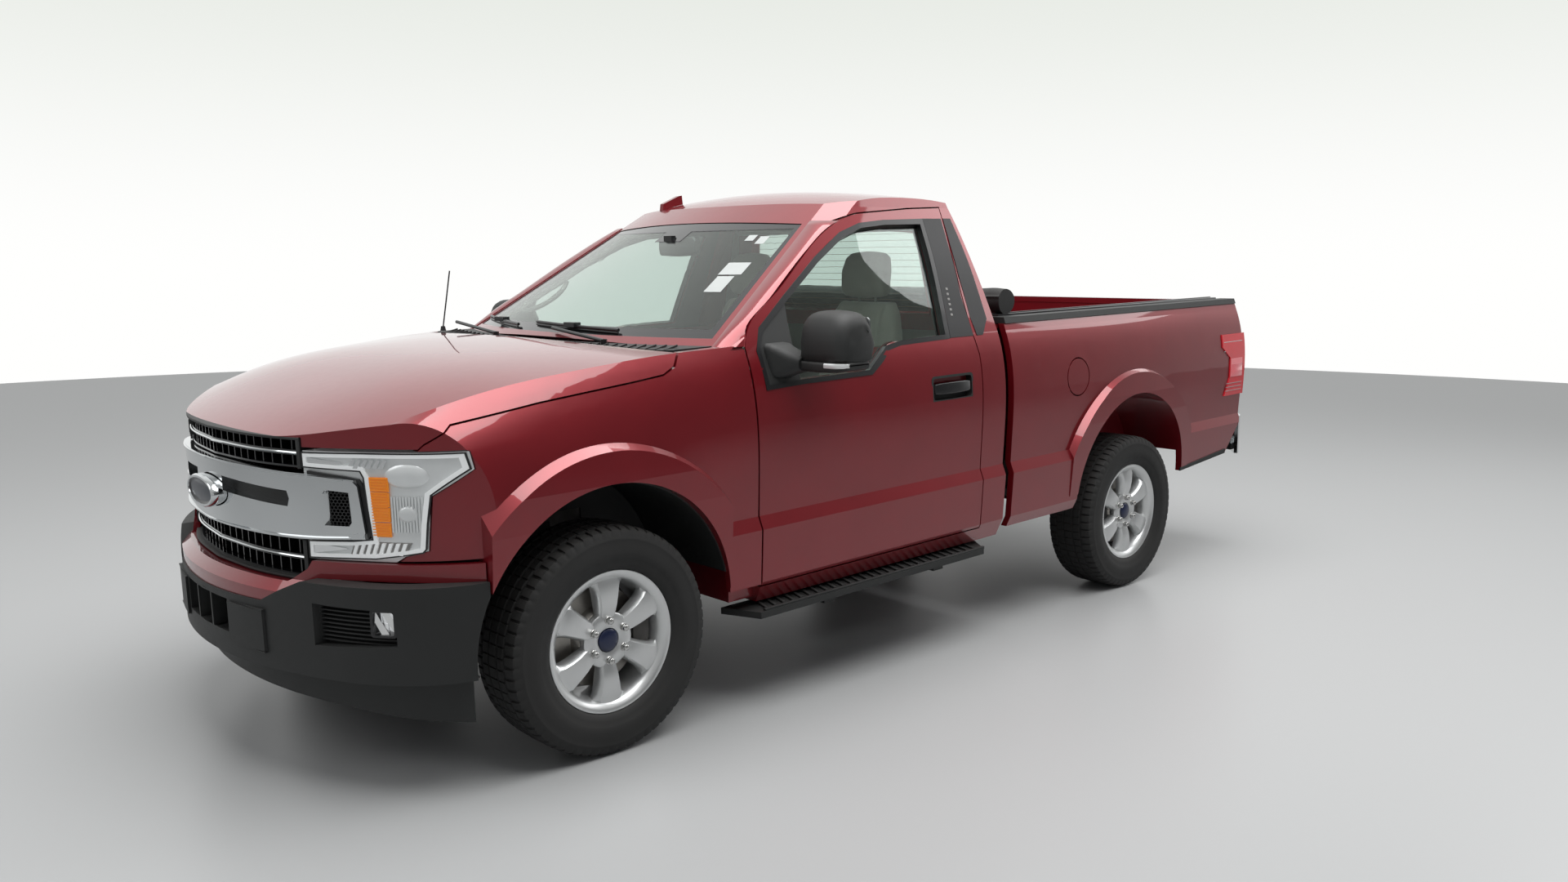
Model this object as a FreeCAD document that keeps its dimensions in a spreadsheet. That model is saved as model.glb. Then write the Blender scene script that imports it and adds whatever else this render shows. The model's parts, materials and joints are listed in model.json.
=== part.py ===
"""Regular-cab pickup truck with a six-and-a-half-foot bed, in millimetres.

+X is forward, +Y is the vehicle's left and +Z is up. The origin is on the
ground, midway between the bumpers' ends. The body, frame and engine are drawn
level and then tilted nose down together, as the truck stands on its springs.
"""
import FreeCAD, Part
import math
import os
import Sketcher

Vector = FreeCAD.Vector
doc = FreeCAD.newDocument("PickupTruck")

# Driving dimensions
SIZES = {
    # wheels, tyres and stance
    "front_axle_x": 1708, "wheelbase": 3109, "track": 1717,
    "tyre_radius": 380, "tyre_width": 245, "tread_width": 206, "tyre_shoulder": 16,
    "bead_radius": 218.5, "bead_width": 196, "sidewall_radius": 300,
    "rim_flange_radius": 235.5, "rim_width": 208, "rim_barrel_radius": 206,
    "wheel_inset": 44, "spoke_count": 6, "spoke_half_width": 27, "hub_radius": 78,
    "disc_radius": 166, "disc_width": 28, "disc_outboard": 16, "hub_bore_radius": 36,
    "rake_angle": 1.3, "ride_height": 376, "kingpin_y": 790,
    # side of the body, as half widths and heights
    "rocker_half": 932, "rocker_z": 368, "sill_half": 970, "sill_z": 448,
    "crease_half": 985, "crease_z": 645, "waist_low_half": 966, "waist_low_z": 692,
    "waist_half": 979, "waist_z": 930, "shoulder_half": 971, "shoulder_z": 1110,
    "belt_half": 930, "belt_z": 1268, "glass_mid_half": 818, "glass_mid_z": 1550,
    "roof_side_half": 697, "roof_side_z": 1794,
    # cab
    "cab_rear_x": -352, "cab_rear_lean": 44, "door_front_x": 1060, "door_front_lean": 16,
    "door_rear_x": -192, "door_low_z": 436, "door_thickness": 142, "frame_thickness": 44,
    "seam_gap": 6, "skin_thickness": 24, "flange_thickness": 6, "roof_crown_drop": 52,
    "roof_thickness": 36, "floor_z": 490, "floor_thickness": 60, "rear_wall_thickness": 58,
    "firewall_x": 1180, "firewall_thickness": 70, "glass_thickness": 12, "fit_gap": 0.3,
    "hinge_x": 1140, "hinge_half": 950, "hinge_pin_radius": 7, "rocker_inner_half": 700,
    "hood_hinge_x": 1240, "hood_hinge_z": 1262,
    # front of the body
    "panel_thickness": 22, "front_x": 2590, "arch_radius": 492, "arch_z": 415,
    "flare_half": 1008, "flare_reach": 112, "hood_thickness": 26,
    "rear_arch_radius": 476, "rear_arch_z": 431, "liner_inner_half": 528,
    # bed
    "bed_front_x": -410, "bed_rear_x": -2492, "bed_floor_z": 760, "bed_rail_z": 1296,
    "bed_inner_half": 830, "wheelhouse_half": 642, "bed_side_thickness": 30, "bed_low_z": 400,
    "tailgate_x": -2420, "tailgate_thickness": 62, "tailgate_half": 762, "tailgate_low_z": 742,
    "rail_cap": 27, "tailgate_gap": 16, "ball_hole_radius": 13,
    # frame and running gear
    "rail_half": 425, "rail_width": 70, "rail_depth": 150, "axle_tube_radius": 42,
    "steer_half": 395, "steer_wheel_radius": 190,
}

sheet = doc.addObject("Spreadsheet::Sheet", "sizes")
for row, (alias, number) in enumerate(SIZES.items(), start=1):
    sheet.set(f"A{row}", alias)
    sheet.set(f"B{row}", str(number))
    sheet.setAlias(f"B{row}", alias)
doc.recompute()


class Values:
    """The sheet's cells, read as plain numbers by their aliases."""

    def __getattr__(self, alias):
        return float(sheet.get(alias))


size = Values()
NODES = []
REAR_AXLE_X = size.front_axle_x - size.wheelbase
WHEEL_HALF = size.track / 2
SPRUNG = FreeCAD.Placement(
    Vector(0, 0, 0),
    FreeCAD.Rotation(Vector(0, 1, 0), size.rake_angle),
    Vector(size.front_axle_x, 0, size.ride_height),
)
LEVEL = FreeCAD.Placement()
REAR_AXLE_DROP = math.sin(math.radians(size.rake_angle)) * size.wheelbase
HINGE_HEIGHTS = (640, 1050)
ENGINE = {"half": 260}
CRADLE = {"x_low": 1560, "x_high": 1880, "z_low": 216, "half": 330}
SPARE = {"z": 318, "radius": 376}
MAST = {"x": 1294, "y": -892, "lean": 48}
COWL = {"half": 852, "fender_half": 874}
FOG_DEPTH = 42


# Drawing helpers
class Outline:
    """A closed flat outline made of straight runs, arcs and smooth curves."""

    planes = {
        "side": lambda u, v, w: Vector(u, w, v),
        "front": lambda u, v, w: Vector(w, u, v),
        "plan": lambda u, v, w: Vector(u, v, w),
    }

    def __init__(self, plane, start, offset=0.0):
        self.place = Outline.planes[plane]
        self.offset = offset
        self.start = start
        self.at = start
        self.edges = []

    def point(self, pair):
        return self.place(pair[0], pair[1], self.offset)

    def line(self, *pairs):
        for pair in pairs:
            if math.dist(pair, self.at) > 1e-6:
                self.edges.append(Part.makeLine(self.point(self.at), self.point(pair)))
                self.at = pair
        return self

    def arc(self, middle, end):
        curve = Part.Arc(self.point(self.at), self.point(middle), self.point(end))
        self.edges.append(curve.toShape())
        self.at = end
        return self

    def curve(self, *pairs):
        spline = Part.BSplineCurve()
        spline.interpolate([self.point(self.at)] + [self.point(pair) for pair in pairs])
        self.edges.append(spline.toShape())
        self.at = pairs[-1]
        return self

    def wire(self):
        self.line(self.start)
        return Part.Wire(self.edges)

    def face(self):
        return Part.Face(self.wire())


def prism(plane, pairs, low, high):
    """A straight-sided solid between two offsets along the plane's normal."""
    return swept(Outline(plane, pairs[0]).line(*pairs[1:]), low, high)


def swept(outline, low, high):
    """The solid that an outline sweeps from one offset to another."""
    start = outline.place(0, 0, low)
    reach = outline.place(0, 0, high - low)
    face = outline.face()
    face.translate(start)
    return face.extrude(reach)


def box(x_low, x_high, y_low, y_high, z_low, z_high):
    """A block given by its limits."""
    corner = Vector(x_low, y_low, z_low)
    return Part.makeBox(x_high - x_low, y_high - y_low, z_high - z_low, corner)


def rod(start, end, radius):
    """A round bar between two points."""
    along = Vector(*end) - Vector(*start)
    return Part.makeCylinder(radius, along.Length, Vector(*start), along)


def pipe(points, radius, bend):
    """A round bar along straight runs joined by tangent arcs of one bend radius."""
    corners = [Vector(*point) for point in points]
    edges = []
    at = corners[0]
    for index in range(1, len(corners) - 1):
        corner = corners[index]
        back = (corners[index - 1] - corner).normalize()
        ahead = (corners[index + 1] - corner).normalize()
        turn = math.pi - back.getAngle(ahead)
        reach = bend * math.tan(turn / 2)
        inward = (back + ahead).normalize()
        centre = corner + inward * (bend / math.cos(turn / 2))
        start, end = corner + back * reach, corner + ahead * reach
        edges.append(Part.makeLine(at, start))
        edges.append(Part.Arc(start, centre - inward * bend, end).toShape())
        at = end
    edges.append(Part.makeLine(at, corners[-1]))
    ring = Part.Wire(Part.makeCircle(radius, corners[0], corners[1] - corners[0]))
    return Part.Wire(edges).makePipeShell([ring], True, False)


def mirrored(shape):
    """The same shape on the other side of the vehicle."""
    return shape.mirror(Vector(0, 0, 0), Vector(0, 1, 0))


def both_sides(shape):
    """A left shape and its mirror image."""
    return Part.makeCompound([shape, mirrored(shape)])


def joined(shapes):
    """One solid from several that touch."""
    return shapes[0].multiFuse(shapes[1:]).removeSplitter()


def add_node(name, shape, placement=SPRUNG):
    """Adds a sub-part to the document under its own name."""
    feature = doc.addObject("Part::Feature", name)
    feature.Label = name
    feature.Shape = shape
    feature.Placement = placement
    NODES.append(feature)
    return feature


# Body side surface
def side_curve(outline, inset, from_z_door=False):
    """Draws the left side's section upward from the rocker to the roof's edge."""
    outline.line((size.sill_half - inset, size.sill_z))
    outline.line((size.crease_half - inset, size.crease_z))
    outline.line((size.waist_low_half - inset, size.waist_low_z))
    outline.curve(
        (size.waist_half - inset, size.waist_z),
        (size.shoulder_half - inset, size.shoulder_z),
        (size.belt_half - inset, size.belt_z),
    )
    outline.curve(
        (size.glass_mid_half - inset, size.glass_mid_z),
        (size.roof_side_half - inset, size.roof_side_z),
    )
    return outline


ROOF_TOP_Z = 1930


def body_section(x_low, x_high, inset=0.0):
    """The full-width bar whose sides are the body side surface."""
    left = Outline("front", (0, size.rocker_z - 200))
    left.line((size.rocker_half - inset, size.rocker_z - 200))
    left.line((size.rocker_half - inset, size.rocker_z))
    side_curve(left, inset)
    left.line((size.roof_side_half - 60 - inset, ROOF_TOP_Z), (0, ROOF_TOP_Z))
    half = swept(left, x_low, x_high)
    return half.fuse(mirrored(half)).removeSplitter()


def side_slab(x_low, x_high, inset, depth):
    """The left side wall between the surface and a parallel one further in."""
    return body_section(x_low, x_high, inset).cut(body_section(x_low - 1, x_high + 1, inset + depth))


# Windscreen and roof surfaces
SCREEN_LOW = {"z": 1304, "corner": (1160, 852), "centre": 1312, "pillar": (1107, 915)}
SCREEN_HIGH = {"z": 1752, "corner": (456, 632), "centre": 574, "pillar": (364, 719)}


def screen_value(key, z):
    """Carries a windscreen point linearly from the base to the header."""
    share = (z - SCREEN_LOW["z"]) / (SCREEN_HIGH["z"] - SCREEN_LOW["z"])
    low = SCREEN_LOW[key]
    high = SCREEN_HIGH[key]
    if isinstance(low, tuple):
        return tuple(a + share * (b - a) for a, b in zip(low, high))
    return low + share * (high - low)


def screen_wire(z, shift):
    """The plan outline behind the windscreen at one height."""
    corner = screen_value("corner", z)
    pillar = screen_value("pillar", z)
    centre = screen_value("centre", z)
    out = 1300 - pillar[1]
    slope = (pillar[0] - corner[0]) / (pillar[1] - corner[1])
    outer = (pillar[0] + slope * out - shift, pillar[1] + out)
    outline = Outline("plan", (-2000, -outer[1]), z)
    outline.line((outer[0], -outer[1]), (corner[0] - shift, -corner[1]))
    outline.arc((centre - shift, 0), (corner[0] - shift, corner[1]))
    outline.line(outer, (-2000, outer[1]))
    return outline.wire()


def behind_screen(shift=0.0):
    """Everything behind the windscreen and the front faces of its pillars."""
    upper = Part.makeLoft([screen_wire(1150, shift), screen_wire(1960, shift)], True, True)
    return upper.fuse(box(-2000, size.firewall_x - shift, -1100, 1100, 100, 1150))


ROOF_LINE = [(-900, 1800), (-352, 1856), (-200, 1876), (0, 1883), (150, 1879), (300, 1860), (450, 1822),
             (580, 1768), (700, 1705)]


def under_roof(drop=0.0):
    """Everything under the crowned roof surface, lowered by drop."""
    sections = []
    for x, z in ROOF_LINE:
        top = z - drop
        outline = Outline("front", (-1000, 200), x)
        outline.line((-1000, top - size.roof_crown_drop * 2))
        outline.arc((0, top), (1000, top - size.roof_crown_drop * 2))
        outline.line((1000, 200))
        sections.append(outline.wire())
    ahead = box(ROOF_LINE[-1][0] - 5, 1700, -1000, 1000, 200, 2000)
    return Part.makeLoft(sections, True, False).fuse(ahead)


def cab_block(inset, rear_inset, front_inset, roof_inset, low_z):
    """The cab's outer form, or with insets the space inside it."""
    rear = size.cab_rear_x + rear_inset
    lean = size.cab_rear_lean
    profile = [(rear, low_z), (rear, size.belt_z), (rear + lean, size.belt_z + 450),
               (rear + lean + 40, 2000), (1500, 2000), (1500, low_z)]
    shape = body_section(size.cab_rear_x - 50, 1500, inset).common(prism("side", profile, -1100, 1100))
    shape = shape.common(behind_screen(front_inset))
    if roof_inset >= 0:
        shape = shape.common(under_roof(roof_inset))
    return shape


# Door outline and its openings, seen from the side
def door_outline(grow=0.0, front_grow=None):
    """The door's edge as a closed side outline, grown outward all round."""
    front = grow if front_grow is None else front_grow
    outline = Outline("side", (size.door_rear_x - grow, size.door_low_z - grow))
    outline.line((size.door_front_x + front, size.door_low_z - grow))
    outline.line((size.door_front_x + size.door_front_lean + front, 1290))
    slant = 0.55
    outline.curve((1049 + front, 1345 + grow * slant), (886 + front * 0.6, 1459 + grow * 0.8),
                  (632 + front * 0.5, 1625 + grow * 0.9), (447, 1722 + grow), (290, 1765 + grow))
    outline.line((-30, 1787 + grow), (-236 - grow, 1794 + grow))
    outline.curve((-208 - grow, 1640), (-178 - grow, 1420), (size.door_rear_x - grow, 1180))
    return outline


def window_outline(shrink=0.0):
    """The door's glass and sail opening as a closed side outline."""
    s = shrink
    outline = Outline("side", (-13 + s, 1268 + s))
    outline.line((262, 1260 + s))
    outline.curve((345 + s * 0.5, 1248 + s), (420 + s, 1196 + s), (480 + s, 1160 + s))
    outline.line((1015 - s, 1146 + s), (1022 - s, 1280), (985 - s, 1352 - s * 0.5))
    outline.line((614 - s * 0.5, 1592 - s))
    outline.curve((431, 1686 - s), (300, 1722 - s), (150, 1734 - s))
    outline.line((-84 + s, 1740 - s))
    return outline


def door_shell():
    """The left door: an outer skin, a thick lower box and a window frame."""
    x_low, x_high = -300, 1200
    skin = side_slab(x_low, x_high, 0, size.skin_thickness)
    skin = skin.common(swept(door_outline(), 0, 1100))
    frame = side_slab(x_low, x_high, 0, size.frame_thickness)
    frame = frame.common(swept(door_outline(-20, -66), 0, 1100))
    lower = side_slab(x_low, x_high, 2, size.door_thickness)
    below_belt = prism("side", [(-400, 300), (1300, 300), (1300, 1142), (470, 1150), (300, 1236), (-400, 1246)],
                       0, 1100)
    lower = lower.common(below_belt).common(swept(door_outline(-20, -66), 0, 1100))
    depth = size.waist_half - size.skin_thickness
    wedge = prism("plan", [(1200, depth), (980, depth), (1120 - 216, depth - 130), (1200, depth - 130)], 300, 1300)
    lower = lower.cut(wedge)
    door = joined([skin, frame, lower]).cut(side_slab(size.door_front_x - 16, x_high, size.flange_thickness, 120))
    door = door.cut(swept(window_outline(), 0, 1100)).cut(handle_pocket())
    return joined([door] + [hinge_strap(z) for z in HINGE_HEIGHTS])


def door_glass():
    """The left door's window glass, standing in its opening."""
    inset = size.frame_thickness / 2
    pane = side_slab(-300, 900, inset, 6).common(swept(window_outline(size.fit_gap), 0, 1100))
    return pane.common(box(-300, 846, 0, 1100, 1100, 1800))


HANDLE = {"x_low": -128, "x_high": 128, "z_low": 1010, "z_high": 1106, "depth": 34, "grip": 34}


def handle_pocket(shrink=0.0):
    """The recess in the door's skin that the handle stands in."""
    return box(HANDLE["x_low"] + shrink, HANDLE["x_high"] - shrink, size.waist_half - HANDLE["depth"] + shrink, 1100,
               HANDLE["z_low"] + shrink, HANDLE["z_high"] - shrink)


def door_fittings():
    """The left mirror on its sail plate, and the handle in its recess."""
    sail = side_slab(700, 1100, 8, size.frame_thickness - 12).common(swept(window_outline(size.fit_gap), 0, 1100))
    sail = sail.common(box(846.5, 1100, 0, 1100, 1100, 1800))
    arm = prism("side", [(872, 1190), (980, 1190), (968, 1262), (884, 1262)], 905, 1040)
    shell = Outline("plan", (752, 1000), 1200)
    shell.curve((800, 985), (862, 1002)).line((905, 1060), (905, 1180))
    shell.curve((880, 1218), (830, 1229)).line((746, 1222))
    housing = shell.face().extrude(Vector(0, 0, 208))
    mirror = joined([sail, arm, housing])
    cup = handle_pocket(size.fit_gap).common(box(-200, 200, 0, size.waist_half - 22, 1000, 1200))
    grip = box(-112, 112, size.waist_half - 30, size.waist_half + 12, 1040, 1078)
    grip = grip.cut(box(-88, 88, size.waist_half - 40, size.waist_half - 4, 1030, 1090))
    return Part.makeCompound([mirror, joined([cup, grip])])


# Hinges
def hinge_strap(z):
    """A gooseneck strap that carries the door on its pin, round the fender's edge."""
    x, y = size.hinge_x, size.hinge_half
    path = [(0, 0), (-6, -50), (-40, -78), (-95, -78), (-220, -78)]
    pieces = [Part.makeCylinder(13, 40, Vector(x, y, z - 20))]
    for a, b in zip(path, path[1:]):
        along = math.dist(a, b)
        bar = Part.makeBox(along + 6, 12, 40, Vector(-3, -6, -20))
        turn = math.degrees(math.atan2(b[1] - a[1], b[0] - a[0]))
        bar.Placement = FreeCAD.Placement(Vector(x + a[0], y + a[1], z), FreeCAD.Rotation(Vector(0, 0, 1), turn))
        pieces.append(bar)
    bore = Part.makeCylinder(size.hinge_pin_radius + size.fit_gap, 80, Vector(x, y, z - 40))
    return joined(pieces).cut(bore)


def hinge_pocket(z):
    """The recess in the hinge pillar that the strap lies in."""
    return box(size.door_front_x - 30, size.hinge_x + 17, size.hinge_half - 94, 1000, z - 28, z + 28)


def hinge_pin(z):
    """A door hinge pin between two lugs on the hinge pillar."""
    x, y = size.hinge_x, size.hinge_half
    lugs = [box(x - 16, x + 16, y - 42, y + 12, z + low, z + low + 12) for low in (-32.3, 20.3)]
    back = box(x + 18, x + 40, y - 60, y + 12, z - 32.3, z + 32.3)
    tie = [box(x - 16, x + 20, y - 42, y + 12, z + low, z + low + 12) for low in (-32.3, 20.3)]
    return joined([Part.makeCylinder(size.hinge_pin_radius, 64, Vector(x, y, z - 32)), back] + lugs + tie)


def hood_arm():
    """The left hood hinge arm, from the hood's underside back to its pin."""
    x, z = size.hood_hinge_x, size.hood_hinge_z
    y = (COWL["half"] + COWL["fender_half"]) / 2 - 5
    line = [(x - 10, z - 12), (x + 20, z - 14), (1400, z - 26), (1470, z - 14), (1470, 1300), (1400, 1300),
            (1372, z + 6), (x, z + 13), (x - 12, z + 8)]
    arm = prism("side", line, y, y + 10).common(nose_block(3))
    eye = rod((x, y, z), (x, y + 10, z), 13.5)
    return arm.fuse(eye).cut(rod((x, y - 1, z), (x, y + 11, z), 6 + size.fit_gap))


def hood_bracket():
    """The left bracket and pin on the cab that carry the hood's arm."""
    x, z = size.hood_hinge_x, size.hood_hinge_z
    plate = box(x - 60, x + 13, COWL["half"] - 14, COWL["half"] + 4, z - 14, z + 8)
    return plate.fuse(rod((x, COWL["half"] - 14, z), (x, COWL["fender_half"] - 2, z), 6))


def disc_inner_y():
    """The inner face of the left brake discs."""
    return WHEEL_HALF + size.disc_outboard - size.disc_width


def fuel_hinge_point(rise):
    """A point of the fuel door's hinge line, which leans with the bedside just inside its surface."""
    f = FUEL_DOOR
    return (f["x"] + f["radius"] - f["hinge_back"], f["hinge_half"] - f["hinge_lean"] * rise, f["z"] + rise)


# Cab
def tunnel(grow=0.0):
    """The hump in the floor over the gearbox and driveshaft."""
    g = grow
    line = [(-360, 200), (-360, 470 + g), (200, 545 + g), (560, 655 + g), (size.firewall_x + 5, 655 + g),
            (size.firewall_x + 5, 200)]
    return prism("side", line, -165 - g, 165 + g)


def door_way():
    """The left doorway, cut right through the side of the cab."""
    return swept(door_outline(size.seam_gap), 500, 1200)


def screen_outline(shrink=0.0):
    """The windscreen's edge, seen from the front."""
    s = shrink
    outline = Outline("front", (-818 + s, 1322 + s))
    outline.line((818 - s, 1322 + s), (618 - s, 1728 - s))
    outline.arc((0, 1746 - s), (-618 + s, 1728 - s))
    return outline


def rear_window_outline(shrink=0.0):
    """The rear window's edge, seen from behind."""
    s = shrink
    outline = Outline("front", (-600 + s, 1332 + s))
    outline.line((600 - s, 1332 + s), (545 - s, 1690 - s))
    outline.arc((0, 1712 - s), (-545 + s, 1690 - s))
    return outline


def cab_shell():
    """Floor, roof, pillars, rear wall and firewall in one open shell."""
    rocker_low = size.rocker_z + 2
    outer = cab_block(0, 0, 0, 0, rocker_low)
    under = size.floor_z - size.floor_thickness
    outer = outer.cut(box(-1000, 2000, -size.rocker_inner_half, size.rocker_inner_half, 0, under))
    nose = prism("side", [(size.firewall_x, 100), (1700, 100), (1700, 1330), (1395, 1330), (size.firewall_x + 40, 1285),
                          (size.firewall_x, 1200)], -1100, 1100)
    outer = outer.cut(nose)
    outer = outer.cut(both_sides(box(size.door_front_x + 4, 1700, size.hinge_half - 30, 1200, 200, 1296)))
    fender_side = both_sides(box(size.door_front_x + 4, 1700, 700, 1200, 200, 1296))
    outer = outer.cut(fender_side.cut(nose_block(size.flange_thickness + size.fit_gap)))
    thick_side = both_sides(box(size.hinge_x + 50 - size.fit_gap, 1700, 700, 1200, 200, 1296))
    outer = outer.cut(thick_side.cut(nose_block(size.panel_thickness + size.fit_gap)))
    inside = cab_block(70, size.rear_wall_thickness, size.firewall_thickness, size.roof_thickness, size.floor_z)
    wall_half = size.waist_half - size.door_thickness
    low_inside = box(-1000, size.firewall_x, -wall_half, wall_half, 0, 1250)
    high_inside = box(-1000, size.firewall_x, -1100, 1100, 1250, 2000)
    inside = inside.common(low_inside.fuse(high_inside)).cut(tunnel(12))
    shell = outer.cut(inside).cut(tunnel(0))
    shell = shell.cut(both_sides(door_way()))
    shell = shell.cut(swept(screen_outline(), 250, 1700))
    shell = shell.cut(swept(rear_window_outline(), -500, -200))
    left = [hinge_pocket(z) for z in HINGE_HEIGHTS]
    shell = shell.cut(left + [mirrored(pocket) for pocket in left])
    pins = [hinge_pin(z) for z in HINGE_HEIGHTS] + [hood_bracket()]
    return joined([shell] + pins + [mirrored(pin) for pin in pins])


def windscreen():
    """The bowed windscreen, set into its frame."""
    pane = behind_screen(6).cut(behind_screen(6 + size.glass_thickness))
    return pane.common(swept(screen_outline(size.fit_gap), 250, 1700))


def rear_window():
    """The flat rear window, leaning with the rear wall."""
    rear = size.cab_rear_x
    lean = size.cab_rear_lean
    z_low = size.belt_z
    pane = prism("side", [(rear + 8, z_low), (rear + 14, z_low), (rear + 14 + lean, z_low + 450),
                          (rear + 8 + lean, z_low + 450)], -900, 900)
    return pane.common(swept(rear_window_outline(size.fit_gap), -500, -200))


# Front of the body
NOSE_STATIONS = [
    (1030, 0, 979, 973, 918, 1300, 1312, 1320),
    (1400, 0, 978, 964, 898, 1290, 1308, 1316),
    (1700, 0, 976, 950, 878, 1266, 1298, 1306),
    (2000, -2, 970, 932, 852, 1230, 1270, 1280),
    (2250, -8, 952, 900, 800, 1168, 1206, 1216),
    (2400, -16, 938, 868, 740, 1118, 1150, 1164),
    (2520, -24, 920, 846, 660, 1078, 1100, 1116),
    (2700, -30, 900, 820, 560, 1000, 1015, 1030),
]


def even_stations(rows, count):
    """Respaces the measured stations evenly, so that the loft through them doesn't swing past them."""
    places = [row[0] for row in rows]
    rises = [[(b[k] - a[k]) / (b[0] - a[0]) for a, b in zip(rows, rows[1:])] for k in range(1, len(rows[0]))]
    slopes = []
    for rise in rises:
        inner = [0 if a * b <= 0 else 2 * a * b / (a + b) for a, b in zip(rise, rise[1:])]
        slopes.append([rise[0]] + inner + [rise[-1]])
    stations = []
    for n in range(count):
        x = places[0] + (places[-1] - places[0]) * n / (count - 1)
        i = min(max(j for j, place in enumerate(places) if place <= x), len(places) - 2)
        span = places[i + 1] - places[i]
        t = (x - places[i]) / span
        station = [x]
        for k, slope in enumerate(slopes, start=1):
            start = (2 * t ** 3 - 3 * t ** 2 + 1) * rows[i][k] + (t ** 3 - 2 * t ** 2 + t) * span * slope[i]
            end = (3 * t ** 2 - 2 * t ** 3) * rows[i + 1][k] + (t ** 3 - t ** 2) * span * slope[i + 1]
            station.append(start + end)
        stations.append(tuple(station))
    return stations


def nose_section(station, inset):
    """One closed cross-section of the front of the body."""
    x, narrow, waist, upper, edge, edge_z, dome_z, crown_z = station
    low = [(size.sill_half + narrow - inset, size.sill_z - 60), (size.sill_half + narrow - inset, size.sill_z),
           (size.crease_half + narrow - inset, size.crease_z), (size.waist_low_half + narrow - inset, size.waist_low_z)]
    side = [(waist - inset, size.waist_z), (upper - inset, 1100), (edge - inset, edge_z - inset)]
    top = [(450, dome_z - inset), (0, crown_z - inset), (-450, dome_z - inset), (-(edge - inset), edge_z - inset)]
    outline = Outline("front", (-low[0][0], low[0][1]), x)
    outline.line(*low)
    outline.curve(*side)
    outline.curve(*top)
    outline.curve((-(upper - inset), 1100), (-(waist - inset), size.waist_z), (-low[3][0], low[3][1]))
    outline.line((-low[2][0], low[2][1]), (-low[1][0], low[1][1]))
    return outline.wire()


def nose_plan(grow=0.0, x_rear=1000):
    """The rounded front of the body seen from above, as a closed outline."""
    g = grow
    outline = Outline("plan", (x_rear, -1200))
    outline.line((1900, -1200), (2060, -(985 + g)))
    half = [(2150 + g * 0.4, 940 + g), (2280 + g * 0.7, 832 + g * 0.7), (2388 + g * 0.8, 690 + g * 0.6),
            (2504 + g, 492), (2568 + g, 250)]
    outline.curve(*[(x, -y) for x, y in half], (size.front_x + g, 0), *[(x, y) for x, y in reversed(half)],
                  (2060, 985 + g))
    outline.line((1900, 1200), (x_rear, 1200))
    return outline


def nose_block(inset=0.0, plan_inset=None):
    """The front of the body as one solid form, or the space inside it."""
    stations = even_stations(NOSE_STATIONS, 10)
    loft = Part.makeLoft([nose_section(station, inset) for station in stations], True, False)
    grow = -inset if plan_inset is None else -plan_inset
    return loft.common(swept(nose_plan(grow), 0, 2000))


def shut_line(drop=0.0):
    """The seam between hood and fender, from the cowl forward, seen from the side."""
    return [(1352, 1330), (1362, 1296 - drop), (1392, 1252 - drop), (1440, 1228 - drop), (1560, 1214 - drop),
            (1900, 1180 - drop), (2190, 1140 - drop), (2262, 1086 - drop), (2275, 1070 - drop), (2700, 1070 - drop)]


LAMP_EDGE = [(2160, 1062), (2150, 1008), (2252, 930), (2264, 766), (2312, 748)]


def hood_panel():
    """The hood's skin, domed, with its edges turned down to the seams."""
    above = prism("side", shut_line() + [(2700, 1500), (1352, 1500)], -1200, 1200)
    skin = nose_block(0).cut(nose_block(size.hood_thickness))
    hood = skin.common(above)
    cowl_edge = Outline("plan", (900, -1200)).line((1358, -1200), (1358, -905))
    cowl_edge.arc((1452, 0), (1358, 905)).line((1358, 1200), (900, 1200))
    hood = hood.cut(swept(cowl_edge, 900, 1500))
    hood = hood.cut(box(2200, 2700, -521, 521, 900, 1098))
    arm = hood_arm()
    return joined([hood, arm, mirrored(arm)])


def wheel_arch(centre_x, centre_z, radius, low=-50):
    """The round opening over a wheel, open downward."""
    arch = rod((centre_x, 0, centre_z), (centre_x, 1300, centre_z), radius)
    return arch.fuse(box(centre_x - radius, centre_x + radius, 0, 1300, low, centre_z))


def flare(centre_x, centre_z, radius, block):
    """The raised band round a wheel arch."""
    cone = Part.makeCone(radius + size.flare_reach + 34, radius + size.flare_reach - 26, 100,
                         Vector(centre_x, 930, centre_z), Vector(0, 1, 0))
    low = 440
    limits = prism("front", [(700, low), (972, low), (992, 645), (size.flare_half - 3, 800),
                             (size.flare_half, 907), (size.flare_half - 10, 1060), (700, 1160)],
                   centre_x - 800, centre_x + 800)
    return cone.common(limits).cut(block)


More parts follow.
